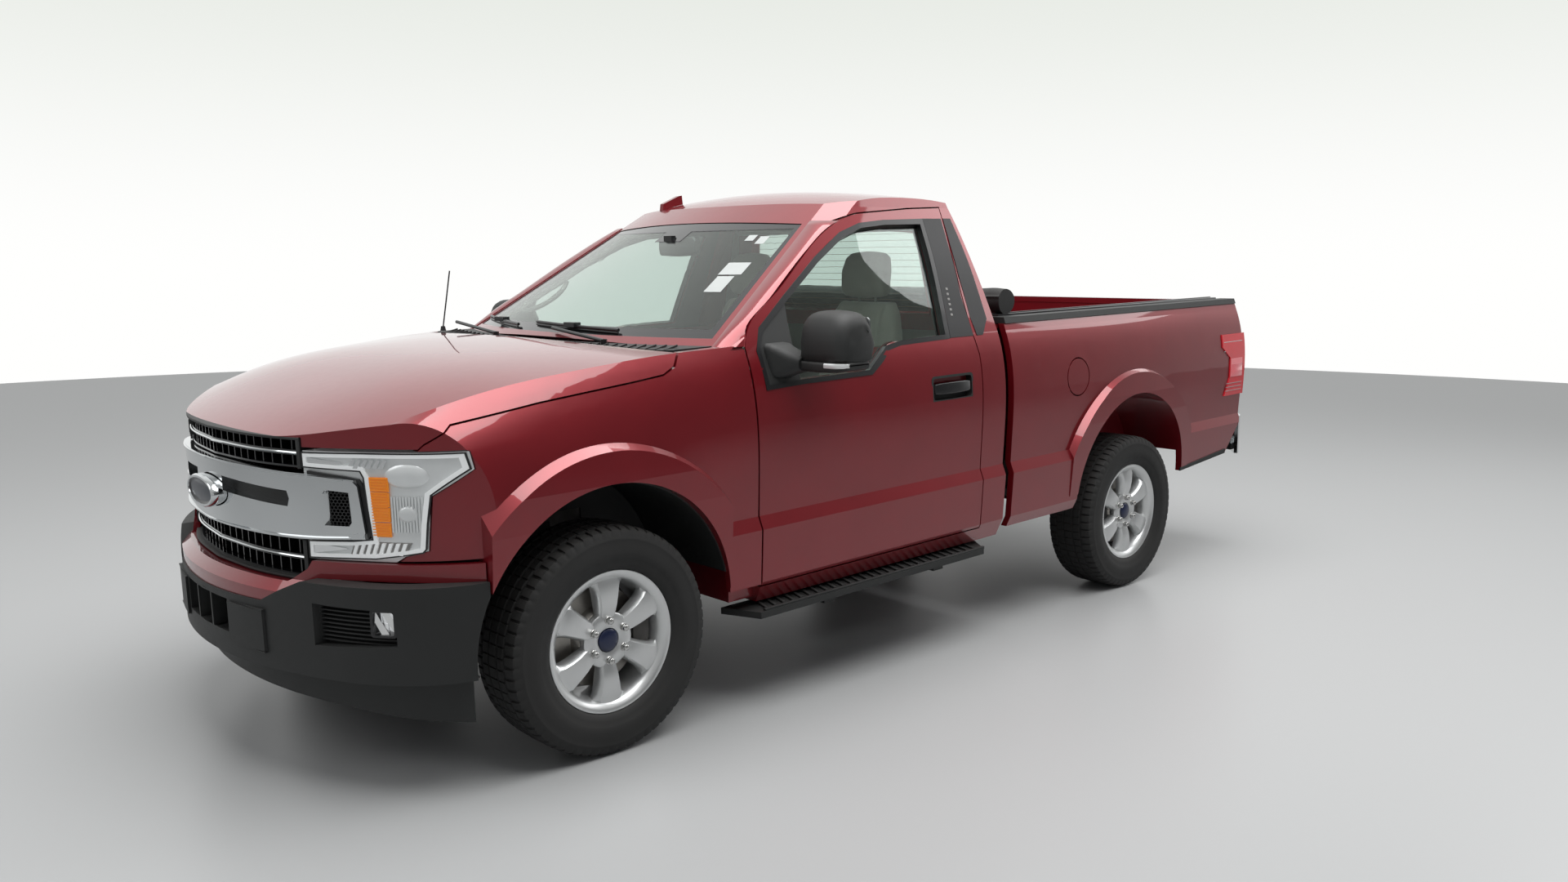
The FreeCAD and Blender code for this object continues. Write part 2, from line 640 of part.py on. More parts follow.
def fender():
    """The left front fender with its flare."""
    seam_x = size.door_front_x + size.seam_gap + 1
    edge = [(seam_x, size.sill_z - 6), (seam_x + size.door_front_lean, 1290), (1100, 1330), (1346, 1330)]
    seam = [(x - 6 if x < 1400 else x, z - 6) for x, z in shut_line()[1:9]]
    edge += seam + [(2166, 1066)]
    edge += [(x - 3, z) for x, z in LAMP_EDGE] + [(2322, 733), (2142, 738), (2142, size.sill_z - 6)]
    skin = nose_block(0).cut(nose_block(size.panel_thickness))
    front = prism("side", edge, 620, 1200).common(box(2100, 2700, 0, 1200, 300, 1200))
    panel = skin.common(prism("side", edge, COWL["fender_half"], 1200).fuse(front))
    panel = panel.cut(nose_block(size.flange_thickness).common(box(1000, size.hinge_x + 50, 0, 1200, 200, 1400)))
    band = flare(size.front_axle_x - 5, size.arch_z, size.arch_radius, nose_block(size.panel_thickness))
    band = band.common(box(1213, 2142, 900, 1100, 440, 1300))
    panel = panel.fuse(band)
    panel = panel.cut(wheel_arch(size.front_axle_x - 5, size.arch_z, size.arch_radius))
    pillar = behind_screen(-5).common(box(900, 1600, -1200, 1200, 1285, 1500))
    return panel.cut(pillar)


def front_liner():
    """The left front wheel liner and inner wall."""
    x, z = size.front_axle_x - 5, size.arch_z
    outer_y = size.waist_half - size.panel_thickness + 6
    radius = size.arch_radius - size.fit_gap
    shell = rod((x, size.liner_inner_half, z), (x, outer_y, z), radius)
    shell = shell.cut(rod((x, size.liner_inner_half + 5, z), (x, outer_y + 10, z), radius - 5))
    shell = shell.cut(box(x - 700, x + 700, 0, 1200, -200, 520)).cut(box(x - 700, x + 700, 0, 700, -200, 560))
    shell = shell.cut(box(2128, 2400, 900, 1200, 300, 735))
    return shell.cut(box(x - 170, x + 180, 0, 700, -200, 735))


# Headlamps, grille and bumper
def headlamp():
    """The left headlamp, wrapping round the corner of the nose."""
    body = nose_block(2).cut(nose_block(86))
    outline = LAMP_EDGE + [(2330, 730), (2700, 730), (2700, 1060), (2270, 1060)]
    lamp = body.common(prism("side", outline, 521, 1200))
    return lamp.cut(bar_block(size.fit_gap))


BAR = {"half": 706, "end_low": 800, "end_high": 978, "low": 788, "high": 1000}


def bar_outline(grow=0.0):
    """The chrome bar's edge, seen from the front."""
    g = grow
    outline = Outline("front", (-(BAR["half"] + g), BAR["end_low"] - g))
    outline.line((-540, BAR["low"] + 4 - g))
    outline.arc((0, BAR["low"] - g), (540, BAR["low"] + 4 - g))
    outline.line((BAR["half"] + g, BAR["end_low"] - g), (BAR["half"] - 22 + g, BAR["end_high"] + g))
    outline.line((540, BAR["high"] - 8 + g))
    outline.arc((0, BAR["high"] + g), (-540, BAR["high"] - 8 + g))
    outline.line((-(BAR["half"] - 22 + g), BAR["end_high"] + g))
    return outline


def bar_block(grow=0.0):
    """The space that the chrome bar takes."""
    band = swept(nose_plan(14 + grow, 2000), 700, 1100).cut(swept(nose_plan(-56 - grow, 1900), 600, 1200))
    return band.common(swept(bar_outline(grow), 2000, 2700))


def grille_bar():
    """The chrome bar with its slots and the oval pod in the middle."""
    bar = bar_block()
    slot = Outline("front", (118, 900)).line((470, 888), (478, 912), (470, 936), (118, 948))
    mesh = Outline("front", (592, 838)).line((664, 838), (672, 850), (668, 940), (600, 946), (592, 934))
    for outline in (slot, mesh):
        hole = swept(outline, 2000, 2700)
        bar = bar.cut(both_sides(hole))
    pod = Part.Ellipse(Vector(2540, 0, 888), 122, 50)
    pod.Axis = Vector(1, 0, 0)
    face = Part.Face(Part.Wire([pod.toShape()]))
    return bar.fuse(face.extrude(Vector(82, 0, 0))).removeSplitter()


def grille():
    """The black grilles above and below the chrome bar, with their ribs."""
    region = prism("front", [(-520, 660), (520, 660), (520, 1092), (-520, 1092)], 2200, 2700)
    back = swept(nose_plan(-70, 1900), 640, 1100).cut(swept(nose_plan(-80, 1900), 600, 1200)).common(region)
    ribs = [back]
    rib_band = swept(nose_plan(-8, 1950), 600, 1100).cut(swept(nose_plan(-72, 1900), 500, 1200))
    for z in (668, 694, 720, 746, 772, 1010, 1034, 1058, 1084):
        ribs.append(rib_band.common(box(2000, 2700, -519.5, 519.5, z, z + 7)))
    mullions = [box(2200, 2700, y - 3, y + 3, 668, 1091) for y in range(-500, 501, 100)]
    ribs.append(rib_band.common(Part.makeCompound(mullions)))
    return joined(ribs).cut(bar_block(size.fit_gap))


COVER_LOW = [(0, 586), (380, 592), (470, 636), (560, 674), (1200, 674)]


def bumper_cover():
    """The painted cover under the lamps and grille, with its sloping ledge."""
    face = swept(bumper_plan(-5), 560, 628)
    lower_edge, upper_edge = bumper_plan(-5, 1800).wire(), nose_plan(18, 1800).wire()
    lower_edge.translate(Vector(0, 0, 628))
    upper_edge.translate(Vector(0, 0, 662))
    ledge = Part.makeLoft([lower_edge, upper_edge], True, True)
    upper = swept(nose_plan(18), 662, 760)
    solid = joined([face, ledge, upper]).cut(swept(nose_plan(-6, 1800), 500, 800))
    solid = solid.cut(swept(bumper_plan(-40, 1800), 500, 640))
    high = [(1200, 731), (800, 727), (548, 727), (530, 700), (460, 656), (0, 656)]
    half = prism("front", COVER_LOW + high, 1900, 2800)
    cover = solid.common(half.fuse(mirrored(half))).common(box(2146, 2700, -1200, 1200, 500, 800))
    return cover.cut(wheel_arch_pair()).removeSplitter()


def wheel_arch_pair():
    """Both front arch openings."""
    return both_sides(wheel_arch(size.front_axle_x - 5, size.arch_z, size.arch_radius))


def bumper_plan(grow=0.0, x_rear=1900):
    """The black bumper's edge seen from above."""
    g = grow
    outline = Outline("plan", (x_rear, -1200))
    outline.line((2030, -1200), (2146, -(984 + g)))
    half = [(2260 + g * 0.6, 945 + g * 0.8), (2400 + g * 0.8, 830 + g * 0.6), (2514 + g, 630 + g * 0.2),
            (2602 + g, 380)]
    outline.curve(*[(x, -y) for x, y in half], (2650 + g, 0), *[(x, y) for x, y in reversed(half)],
                  (2146, 984 + g))
    outline.line((2030, 1200), (x_rear, 1200))
    return outline


def front_bumper():
    """The black lower bumper with its openings, lamp recesses and tow-hook covers."""
    band = swept(bumper_plan(0), 380, 674).cut(swept(bumper_plan(-60, 1800), 300, 700))
    band = band.common(box(2146, 2700, -1200, 1200, 300, 700))
    under_cover = [(0, 300)] + [(1200, 300)] + [(y, z - size.fit_gap) for y, z in reversed(COVER_LOW)]
    half = prism("front", under_cover, 1900, 2800)
    band = band.common(half.fuse(mirrored(half)))
    band = band.cut(nose_block(-0.5, -18.5))
    cover_pad = swept(bumper_plan(9), 432, 562).cut(swept(bumper_plan(-12, 1800), 400, 600))
    band = band.fuse(both_sides(cover_pad.common(box(2300, 2800, 206, 398, 400, 600))))
    holes = [prism("front", [(y, 455), (y + 118, 455), (y + 118, 565), (y, 565)], 2400, 2700)
             for y in (-188, -59, 70)]
    band = band.cut(holes)
    recess = prism("front", [(600, 482), (850, 500), (850, 606), (600, 612)], 2200, 2700)
    recess = recess.cut(swept(bumper_plan(-FOG_DEPTH, 1800), 300, 700))
    return band.cut(both_sides(recess)).cut(wheel_arch_pair()).removeSplitter()


def air_dam():
    """The soft black dam hanging under the bumper."""
    band = swept(bumper_plan(-80, 1800), 222, 379).cut(swept(bumper_plan(-92, 1700), 200, 400))
    taper = prism("side", [(2172, 222), (2172, 379), (2700, 379), (2700, 300), (2420, 262)], -1200, 1200)
    shelf = swept(bumper_plan(-40, 1800), 374, 379.7).cut(swept(bumper_plan(-92, 1700), 300, 400))
    dam = band.common(taper).fuse(shelf.common(box(2172, 2700, -1200, 1200, 300, 400)))
    return dam.removeSplitter()


def fog_lamp():
    """The left fog lamp in the bumper's recess."""
    lamp = rod((2300, 775, 556), (2428, 775, 556), 44)
    return lamp.cut(swept(bumper_plan(-FOG_DEPTH + size.fit_gap, 1800), 300, 700))


def cowl():
    """The louvred black panel between hood and windscreen."""
    half = COWL["half"]
    plan = Outline("plan", (1120, -half)).line((1340, -half))
    plan.arc((1444, 0), (1340, half)).line((1120, half))
    slab = prism("side", [(1100, 1272), (1100, 1300), (1330, 1298), (1450, 1284), (1450, 1256), (1330, 1270)], -900, 900)
    panel = slab.common(swept(plan, 1200, 1400)).cut(behind_screen(-1))
    return panel.cut(nose_block_gap()).removeSplitter()


# Load bed
def bed_side():
    """The left outer side of the bed with its flare and tailgate pin."""
    x_rear, x_front = size.bed_rear_x, size.bed_front_x
    wall = side_slab(x_rear, x_front, 0, size.bed_side_thickness)
    tail_low = [(x_front, size.bed_low_z), (x_front, size.bed_rail_z), (x_rear, size.bed_rail_z),
                (x_rear, 672), (-2340, 486), (-1860, 450), (-1860, size.bed_low_z)]
    wall = wall.common(prism("side", tail_low, 500, 1200))
    rear_face = box(x_rear, x_rear + 30, size.tailgate_half + 6, 940, 690, size.bed_rail_z)
    post = box(x_rear, -2412, size.tailgate_half + 6, size.tailgate_half + 26, 740, size.bed_rail_z)
    rear_face = rear_face.fuse(post).common(body_section(x_rear - 1, x_rear + 140, 4))
    pin_x, pin_z = size.tailgate_x - 22, size.tailgate_low_z + 22
    pin = rod((pin_x, size.tailgate_half - 50, pin_z), (pin_x, size.tailgate_half + 10, pin_z), 9)
    band = flare(REAR_AXLE_X, size.rear_arch_z, size.rear_arch_radius,
                 body_section(x_rear, x_front, size.bed_side_thickness))
    side = wall.fuse([rear_face, pin, band.common(box(-1400 - 533, -860, 0, 1200, 470, 1300))])
    side = side.cut(wheel_arch(REAR_AXLE_X, size.rear_arch_z, size.rear_arch_radius))
    side = side.cut(tail_lamp_block(size.fit_gap))
    return side.cut(fuel_door_hole(size.seam_gap)).removeSplitter()


def tail_lamp_block(grow=0.0):
    """The space that the left tail lamp takes at the bed's rear corner."""
    g = grow
    outline = [(size.bed_rear_x - 60, 804 - g), (-2300 + g, 804 - g), (-2345 + g, 900), (-2345 + g, 1010),
               (-2262 + g, 1070), (-2262 + g, 1138 + g), (size.bed_rear_x - 60, 1138 + g)]
    block = prism("side", outline, 500, 1200)
    return block.common(box(-2560, -2200, 786 - g, 1200, 700, 1200))


def tail_lamp():
    """The left tail lamp, wrapping round the bed's rear corner."""
    outer = body_section(size.bed_rear_x - 16, -2200, -6)
    lamp = tail_lamp_block().common(outer)
    return lamp.cut(body_section(-2440, -2100, 29.5)).cut(box(-2441, -2100, 0, 900, 700, 1200))


FUEL_DOOR = {"x": -905, "z": 1027, "radius": 84, "hinge_back": 16, "hinge_half": 973.45, "hinge_lean": 0.0471}


def fuel_door_hole(grow=0.0):
    """The round opening in the bedside, as deep as its wall."""
    f = FUEL_DOOR
    return rod((f["x"], 900, f["z"]), (f["x"], 1100, f["z"]), f["radius"] + grow)


def fuel_door():
    """The round fuel door, flush with the bedside, on its hinge pin."""
    f = FUEL_DOOR
    disc = side_slab(-1100, -700, 0, 6).common(fuel_door_hole(0))
    pin_radius = 3
    outermost = f["radius"] - f["hinge_back"] + pin_radius
    reach = math.sqrt((f["radius"] + size.seam_gap) ** 2 - outermost ** 2) - size.fit_gap
    pin = rod(fuel_hinge_point(-reach), fuel_hinge_point(reach), pin_radius)
    knuckle_bar = rod(fuel_hinge_point(-40), fuel_hinge_point(40), pin_radius + 1)
    return joined([disc, pin, knuckle_bar])


def bed_tub():
    """The bed's floor, front wall, inner sides and wheelhouses."""
    inner = size.bed_inner_half
    front, rear, floor = size.bed_front_x, size.tailgate_x + size.tailgate_gap, size.bed_floor_z
    pieces = [box(rear, front - 6, -inner - 20, inner + 20, floor - 22, floor),
              box(front - 34, front - 6, -(inner + 20), inner + 20, floor - 22, size.bed_rail_z - 4)]
    for x in (-2374, -1990, -1020, -620):
        pieces.append(box(x - 30, x + 30, -700, 700, floor - 88, floor - 21))
    side = box(rear, front - 6, inner, inner + 20, floor - 22, size.bed_rail_z - 4)
    shelf = box(rear, front - 6, inner, size.belt_half - 48, size.bed_rail_z - 22, size.bed_rail_z - 4)
    radius = size.rear_arch_radius + 16
    house = rod((REAR_AXLE_X, size.wheelhouse_half, size.rear_arch_z), (REAR_AXLE_X, 1000, size.rear_arch_z), radius)
    house = house.common(body_section(-2200, -600, size.bed_side_thickness + size.fit_gap))
    void = rod((REAR_AXLE_X, size.wheelhouse_half + 10, size.rear_arch_z), (REAR_AXLE_X, 1000, size.rear_arch_z),
               radius - 10)
    low = box(REAR_AXLE_X - 700, REAR_AXLE_X + 700, 0, 1200, -200, 560)
    half = side.fuse([shelf, house.cut(low)])
    tub = joined(pieces + [half, mirrored(half)])
    return tub.cut(both_sides(void)).removeSplitter()


def bed_rails():
    """The black caps along the top of both bed sides."""
    cap = body_section(size.bed_rear_x, size.bed_front_x - 4, -6).common(
        box(size.bed_rear_x, size.bed_front_x - 4, size.bed_inner_half + 6, 1200, size.bed_rail_z + 0.3,
            size.bed_rail_z + size.rail_cap))
    return both_sides(cap)


def tonneau_roll():
    """The soft cover rolled up behind the cab."""
    x = -545
    z = size.bed_rail_z + size.rail_cap + 61 + size.fit_gap
    return rod((x, -838, z), (x, 838, z), 61)


def tailgate():
    """The tailgate, closed between the bed sides, on its two bottom pins."""
    x = size.tailgate_x
    t = size.tailgate_thickness
    half = size.tailgate_half
    outline = Outline("front", (-half, size.tailgate_low_z + 12))
    outline.line((-half + 12, size.tailgate_low_z), (half - 12, size.tailgate_low_z),
                 (half, size.tailgate_low_z + 12), (half, size.bed_rail_z + 10), (-half, size.bed_rail_z + 10))
    gate = swept(outline, x - t, x)
    cap = box(x - t - 12, x + 4, -half, half, size.bed_rail_z - 12, size.bed_rail_z + 20)
    recess = box(x - t - 1, x - t + 10, -600, 600, 830, 1180)
    grip = box(x - t - 20, x - t + 26, -130, 130, 1196, 1256)
    bezel = box(x - t + 4, x - t + 26.0, -118, 118, 1200, 1252)
    bore = rod((x - 22, -1000, size.tailgate_low_z + 22), (x - 22, 1000, size.tailgate_low_z + 22), 9 + size.fit_gap)
    middle = box(x - 100, x + 100, -half + 60, half - 60, 700, 800)
    return joined([gate.cut(recess).cut(grip), cap, bezel]).cut(bore.cut(middle))


# Frame and running gear
def nose_support():
    """The bar that carries grille and lamps, on its two posts."""
    low, high = 850, 900
    behind = swept(nose_plan(-110, 1700), low - 50, high + 50)
    centre = swept(nose_plan(-80 - size.fit_gap, 1800), low, high).cut(behind)
    outer = swept(nose_plan(-86 - size.fit_gap, 1800), low, high).cut(behind)
    post = box(2390, 2440, 360, 410, 520, high)
    left = joined([centre.common(box(2200, 2700, 0, 520, low, high)),
                   outer.common(box(2200, 2700, 515, 640, low, high)), post])
    return joined([left, mirrored(left)])


def frame_rail():
    """The left kicked-up rail with the body's posts, the cradle's side and the bumper's horn."""
    depth = size.rail_depth
    spine = [(2420, 430), (1990, 420), (1660, 420), (1330, 300), (1100, 262), (-760, 262), (-1010, 330),
             (-1180, 470), (-1620, 470), (-1860, 420), (-2480, 420)]
    top = [(x, z + depth) for x, z in reversed(spine)]
    inner = size.rail_half - size.rail_width
    pieces = [prism("side", spine + top, inner, size.rail_half)]
    bed_low = size.bed_floor_z - 88 - size.fit_gap
    for x, low in ((-560, 400), (-2380, 560), (-1990, 540), (-1020, 420)):
        pieces.append(box(x - 28, x + 28, size.rail_half - 50, size.rail_half - 4, low, bed_low))
    cab_low = size.floor_z - size.floor_thickness - size.fit_gap
    for x in (900, -200):
        pieces.append(box(x - 40, x + 40, inner + 4, size.rail_half - 4, 400, cab_low))
    pieces.append(box(CRADLE["x_low"], CRADLE["x_high"], CRADLE["half"], size.rail_half, CRADLE["z_low"], 425))
    pieces.append(box(1600, 1700, ENGINE["half"] + size.fit_gap, inner + 2, 470, 530))
    horn = box(2400, 2700, inner + 5, size.rail_half - 5, 440, 520)
    behind = swept(bumper_plan(-60 - size.fit_gap, 1700), 300, 700)
    pieces.append(horn.common(behind.fuse(nose_block(-0.5 + size.fit_gap, -18.5 + size.fit_gap))))
    return joined(pieces)


def frame():
    """The ladder frame: two rails, the members set between them, and the nose support on top."""
    rails = [frame_rail()]
    rails.append(mirrored(rails[0]))
    inner = size.rail_half - size.rail_width
    members = []
    for x, low, high in ((2360, 470, 550), (2070, 440, 520), (1000, 310, 396), (-300, 300, 345), (-1130, 490, 560),
                         (-1700, 500, 580), (-2430, 450, 530)):
        members.append(box(x - 40, x + 40, -inner, inner, low, high))
    hanger = rod((-2040, 0, 450), (-2040, 0, SPARE["z"] + 14 + size.fit_gap), 20)
    members.append(joined([box(-2080, -2000, -inner, inner, 440, 510), hanger]))
    low = CRADLE["z_low"]
    members.append(box(CRADLE["x_low"], CRADLE["x_low"] + 80, -CRADLE["half"], CRADLE["half"], low, low + 70))
    return Part.makeCompound(rails + members + [nose_support().cut(rails)])


def front_suspension():
    """Lower and upper arms, coil struts and the steering rack, fixed to the frame."""
    x, z = size.front_axle_x, size.ride_height
    pieces = []
    inner = size.rail_half + size.fit_gap
    ball = size.kingpin_y
    low = prism("plan", [(x + 170, inner), (x + 110, inner), (x, ball - 90), (x - 80, inner), (x - 140, inner),
                         (x - 34, ball + 18), (x + 34, ball + 18)], z - 150, z - 118)
    high = prism("plan", [(x + 110, inner), (x + 66, inner), (x, ball - 100), (x - 66, inner), (x - 110, inner),
                          (x - 22, ball + 16), (x + 22, ball + 16)], z + 150, z + 168)
    strut = rod((x, 600, z - 125), (x, 520, z + 330), 40)
    studs = [rod((x, ball, z - 120), (x, ball, z - 86), 11), rod((x, ball, z + 152), (x, ball, z + 124), 11)]
    side = joined([low, high, strut] + studs)
    return Part.makeCompound([side, mirrored(side)])


def steering_rack():
    """The steering rack across the cradle, with its tie rods."""
    x = CRADLE["x_low"] - 32 - size.fit_gap
    z = size.ride_height - 84
    return rod((x, -400, z), (x, 400, z), 32).fuse(rod((x, -600, z), (x, 600, z), 10)).removeSplitter()


def engine():
    """The engine with its gearbox, as one plain mass."""
    half = ENGINE["half"]
    block = box(1330, 1990, -half, half, 420, 1030)
    gearbox = box(600, 1330, -140, 140, 396.3, 630)
    return Part.makeCompound([block, gearbox])


def rear_axle():
    """The live rear axle with its differential, shaft and brake calipers."""
    x, z = REAR_AXLE_X, size.tyre_radius
    reach = disc_inner_y() - size.fit_gap
    tube = rod((x, -reach, z), (x, reach, z), size.axle_tube_radius)
    bulb = Part.makeSphere(148, Vector(x, 0, z))
    nose = rod((x, 0, z), (x + 250, 0, z + 6), 62)
    shaft = rod((x + 240, 0, z + 6), (560, 0, 490), 44)
    y = disc_inner_y()
    plate = box(x - 30, x + 160, y - 36, y - 12, z - 60, z + 60)
    caliper = box(x + 116, x + 186, y - 36, y + size.disc_width + 34, z - 76, z + 76)
    slot = rod((x, y - 5, z), (x, y + size.disc_width + 5, z), size.disc_radius + 5)
    caliper = caliper.cut(slot).common(rod((x, y - 100, z), (x, y + 200, z), size.rim_barrel_radius - 22))
    side = plate.fuse(caliper)
    return joined([tube, bulb, nose, shaft, side, mirrored(side)])


def leaf_springs():
    """The two leaf packs over the axle, hung from the frame's sides."""
    x, y = REAR_AXLE_X, size.rail_half + 72
    z = size.tyre_radius - REAR_AXLE_DROP + size.axle_tube_radius + 3
    half_span = 700
    leaf = Outline("side", (x - half_span, z + 100))
    leaf.arc((x, z), (x + half_span, z + 100))
    leaf.line((x + half_span, z + 132))
    leaf.arc((x, z + 44), (x - half_span, z + 132))
    pack = swept(leaf, y - 38, y + 38)
    front = box(x + half_span - 45, x + half_span + 40, size.rail_half + size.fit_gap, y + 38, z + 70, z + 160)
    rear = box(x - half_span - 40, x - half_span + 45, size.rail_half + size.fit_gap, y + 38, z + 70, z + 230)
    return both_sides(joined([pack, front, rear]))


def side_step():
    """The left running board on its brackets."""
    z = 330
    plan = [(1165, 860), (1105, 1010), (-170, 1010), (-262, 880), (-262, 858), (1165, 858)]
    board = prism("plan", plan, z, z + 24)
    brackets = [box(x - 30, x + 30, size.rail_half + size.fit_gap, 950, z - 36, z + 2) for x in (700, 60)]
    return joined([board] + brackets)


def rear_bumper():
    """The chrome rear bumper with its step pad and hitch bar."""
    plan = Outline("plan", (-2505, -965))
    plan.curve((-2600, -920), (-2650, -700)).line((-2650, 700)).curve((-2600, 920), (-2505, 965))
    plan.line((-2505, 945), (-2590, 880), (-2630, 700), (-2630, -700), (-2590, -880), (-2505, -945))
    face = swept(plan, 463, 660)
    shelf = Outline("plan", (-2505, -965))
    shelf.curve((-2600, -920), (-2650, -700)).line((-2650, 700)).curve((-2600, 920), (-2505, 965))
    pad = swept(shelf, 648, 672)
    ball = Vector(-2585, 0, 600)
    pad = pad.cut(Part.makeCylinder(size.ball_hole_radius, 120, ball))
    beam = box(-2560, -2500, -760, 760, 480, 650)
    mounts = [box(-2560, -2480 - size.fit_gap, s * 390 - 34, s * 390 + 34, 480, 560) for s in (1, -1)]
    web = [box(-2632, -2555, y - 10, y + 10, 500, 650) for y in (-600, -200, 200, 600)]
    return joined([face, pad, beam] + mounts + web)


def exhaust():
    """The exhaust from the engine's side back under the load bed."""
    radius = 32
    side = -(ENGINE["half"] + radius + size.fit_gap)
    path = [(1450, side, 520), (1420, side, 262), (-960, -250, 262), (-1130, -230, 425),
            (-1640, -230, 425), (-1800, -330, 335), (-2200, -690, 325), (-2330, -790, 325)]
    pipe_line = pipe(path, radius, 90)
    muffler = rod((-450, -263, 262), (-850, -253, 262), 62)
    return joined([pipe_line, muffler])


def fuel_tank():
    """The fuel tank between the cross members, beside the left rail."""
    reach = size.rail_half - size.rail_width - size.fit_gap
    tank = box(-240, 860, 70, reach, 255, 390)
    return tank.makeFillet(28, [edge for edge in tank.Edges if edge.BoundBox.YLength < 1])


def spare_wheel():
    """The spare wheel hung under the rear of the frame."""
    x, z = -2040, SPARE["z"]
    outer = Outline("front", (236, z - 84), x).line((300, z - 96), (SPARE["radius"] - 14, z - 92), (SPARE["radius"], z - 80),
                                                (SPARE["radius"], z + 80), (SPARE["radius"] - 14, z + 92), (300, z + 96),
                                                (236, z + 84), (205, z + 84), (205, z + 14), (0, z + 14), (0, z - 6),
                                                (196, z - 6), (196, z - 84))
    return outer.face().revolve(Vector(x, 0, 0), Vector(0, 0, 1), 360)


def nose_block_gap():
    """Keeps the cowl's edge clear of the hood's underside."""
    return box(1352, 1600, -1200, 1200, 1279, 1400)


def aerials():
    """The radio mast on the right fender."""
    under = nose_block()
    under.translate(Vector(0, 0, size.fit_gap))
    x, y = MAST["x"], MAST["y"]
    foot = Part.makeCone(16, 9, 34, Vector(x, y, 1282)).cut(under)
    mast = rod((x, y, 1308), (x - MAST["lean"], y, 1560), 3.2)
    return joined([mast, foot])


def roof_fin():
    """The body-coloured aerial fin on the roof."""
    fin = prism("side", [(300, 1780), (430, 1780), (420, 1845), (330, 1882), (312, 1885)], -412, -388)
    return fin.cut(under_roof(-size.fit_gap))


def wipers():
    """Both wipers, parked along the windscreen's base."""
    arms = []
    for y in (430, -330):
        x_pivot = 1385 - abs(y) * 0.12
        cowl_top = 1298 - max(0, x_pivot - 12 - 1330) * 14 / 120
        pivot = rod((x_pivot, y, cowl_top + size.fit_gap), (x_pivot, y, 1316), 12)
        arms.append(joined([pivot, rod((x_pivot, y, 1310), (x_pivot - 46, y - 420, 1340), 7)]))
    return Part.makeCompound(arms)


# Inside the cab
def seat():
    """The split bench seat with its two head rests."""
    floor = size.floor_z + size.fit_gap
    pieces = []
    for y in (390, -390):
        cushion = box(-30, 480, y - 270, y + 270, floor, 810)
        back = prism("side", [(-30, 700), (60, 700), (-100, 1400), (-210, 1400)], y - 265, y + 265)
        rest = prism("side", [(-120, 1395), (-30, 1395), (-70, 1590), (-180, 1590)], y - 130, y + 130)
        pieces += [cushion, back, rest]
    middle = box(-30, 440, -125, 125, floor, 790)
    return joined(pieces + [middle]).cut(tunnel(12 + size.fit_gap))


def dashboard():
    """The dashboard from pillar to pillar."""
    front = size.firewall_x - size.firewall_thickness - size.fit_gap
    profile = [(front, 780), (front, 1215), (900, 1190), (800, 1150), (760, 1000), (820, 860), (980, 780)]
    dash = prism("side", profile, -800, 800)
    column = rod((900, size.steer_half, 1010), (716, size.steer_half, 1096), 30)
    return joined([dash, column])


def steering_wheel():
    """The steering wheel on its column."""
    tilt = Vector(-184, 0, 86)
    unit = tilt / tilt.Length
    column_end = Vector(716, size.steer_half, 1096)
    hub = Part.makeCylinder(58, 40, column_end + unit * size.fit_gap, unit)
    centre = column_end + unit * 24
    rim = Part.makeTorus(size.steer_wheel_radius, 15, centre, unit)
    spoke = Part.makeBox(24, 2 * size.steer_wheel_radius - 10, 16, Vector(-12, -size.steer_wheel_radius + 5, -8))
    lower = Part.makeBox(size.steer_wheel_radius - 5, 24, 16, Vector(0, -12, -8))
    spokes = spoke.fuse(lower)
    spokes.Placement = FreeCAD.Placement(centre, FreeCAD.Rotation(Vector(0, 0, 1), unit))
    return joined([rim, hub, spokes])


# Wheels
def wheel_body(name):
    """A PartDesign body for one turned piece of a wheel."""
    body = doc.addObject("PartDesign::Body", name)
    body.Label = name
    return body


def origin_feature(body, role):
    return [item for item in body.Origin.OriginFeatures if item.Role == role][0]


def sketch_on(body, name, role, pairs):
    """A closed sketch on an origin plane whose corners follow the sheet."""
    sketch = body.newObject("Sketcher::SketchObject", name)
    sketch.AttachmentSupport = (origin_feature(body, role), [""])
    sketch.MapMode = "FlatFace"
    corners = [(sketch.evalExpression(u), sketch.evalExpression(v)) for u, v in pairs]
    count = len(pairs)
    for index in range(count):
        a, b = corners[index], corners[(index + 1) % count]
        sketch.addGeometry(Part.LineSegment(Vector(a[0], a[1], 0), Vector(b[0], b[1], 0)), False)
    for index in range(count):
        sketch.addConstraint(Sketcher.Constraint("Coincident", index, 2, (index + 1) % count, 1))
    for index, (u, v) in enumerate(pairs):
        for kind, text, number in (("DistanceX", u, corners[index][0]), ("DistanceY", v, corners[index][1])):
            place = sketch.addConstraint(Sketcher.Constraint(kind, -1, 1, index, 1, number))
            sketch.setExpression(f"Constraints[{place}]", text)
    return sketch


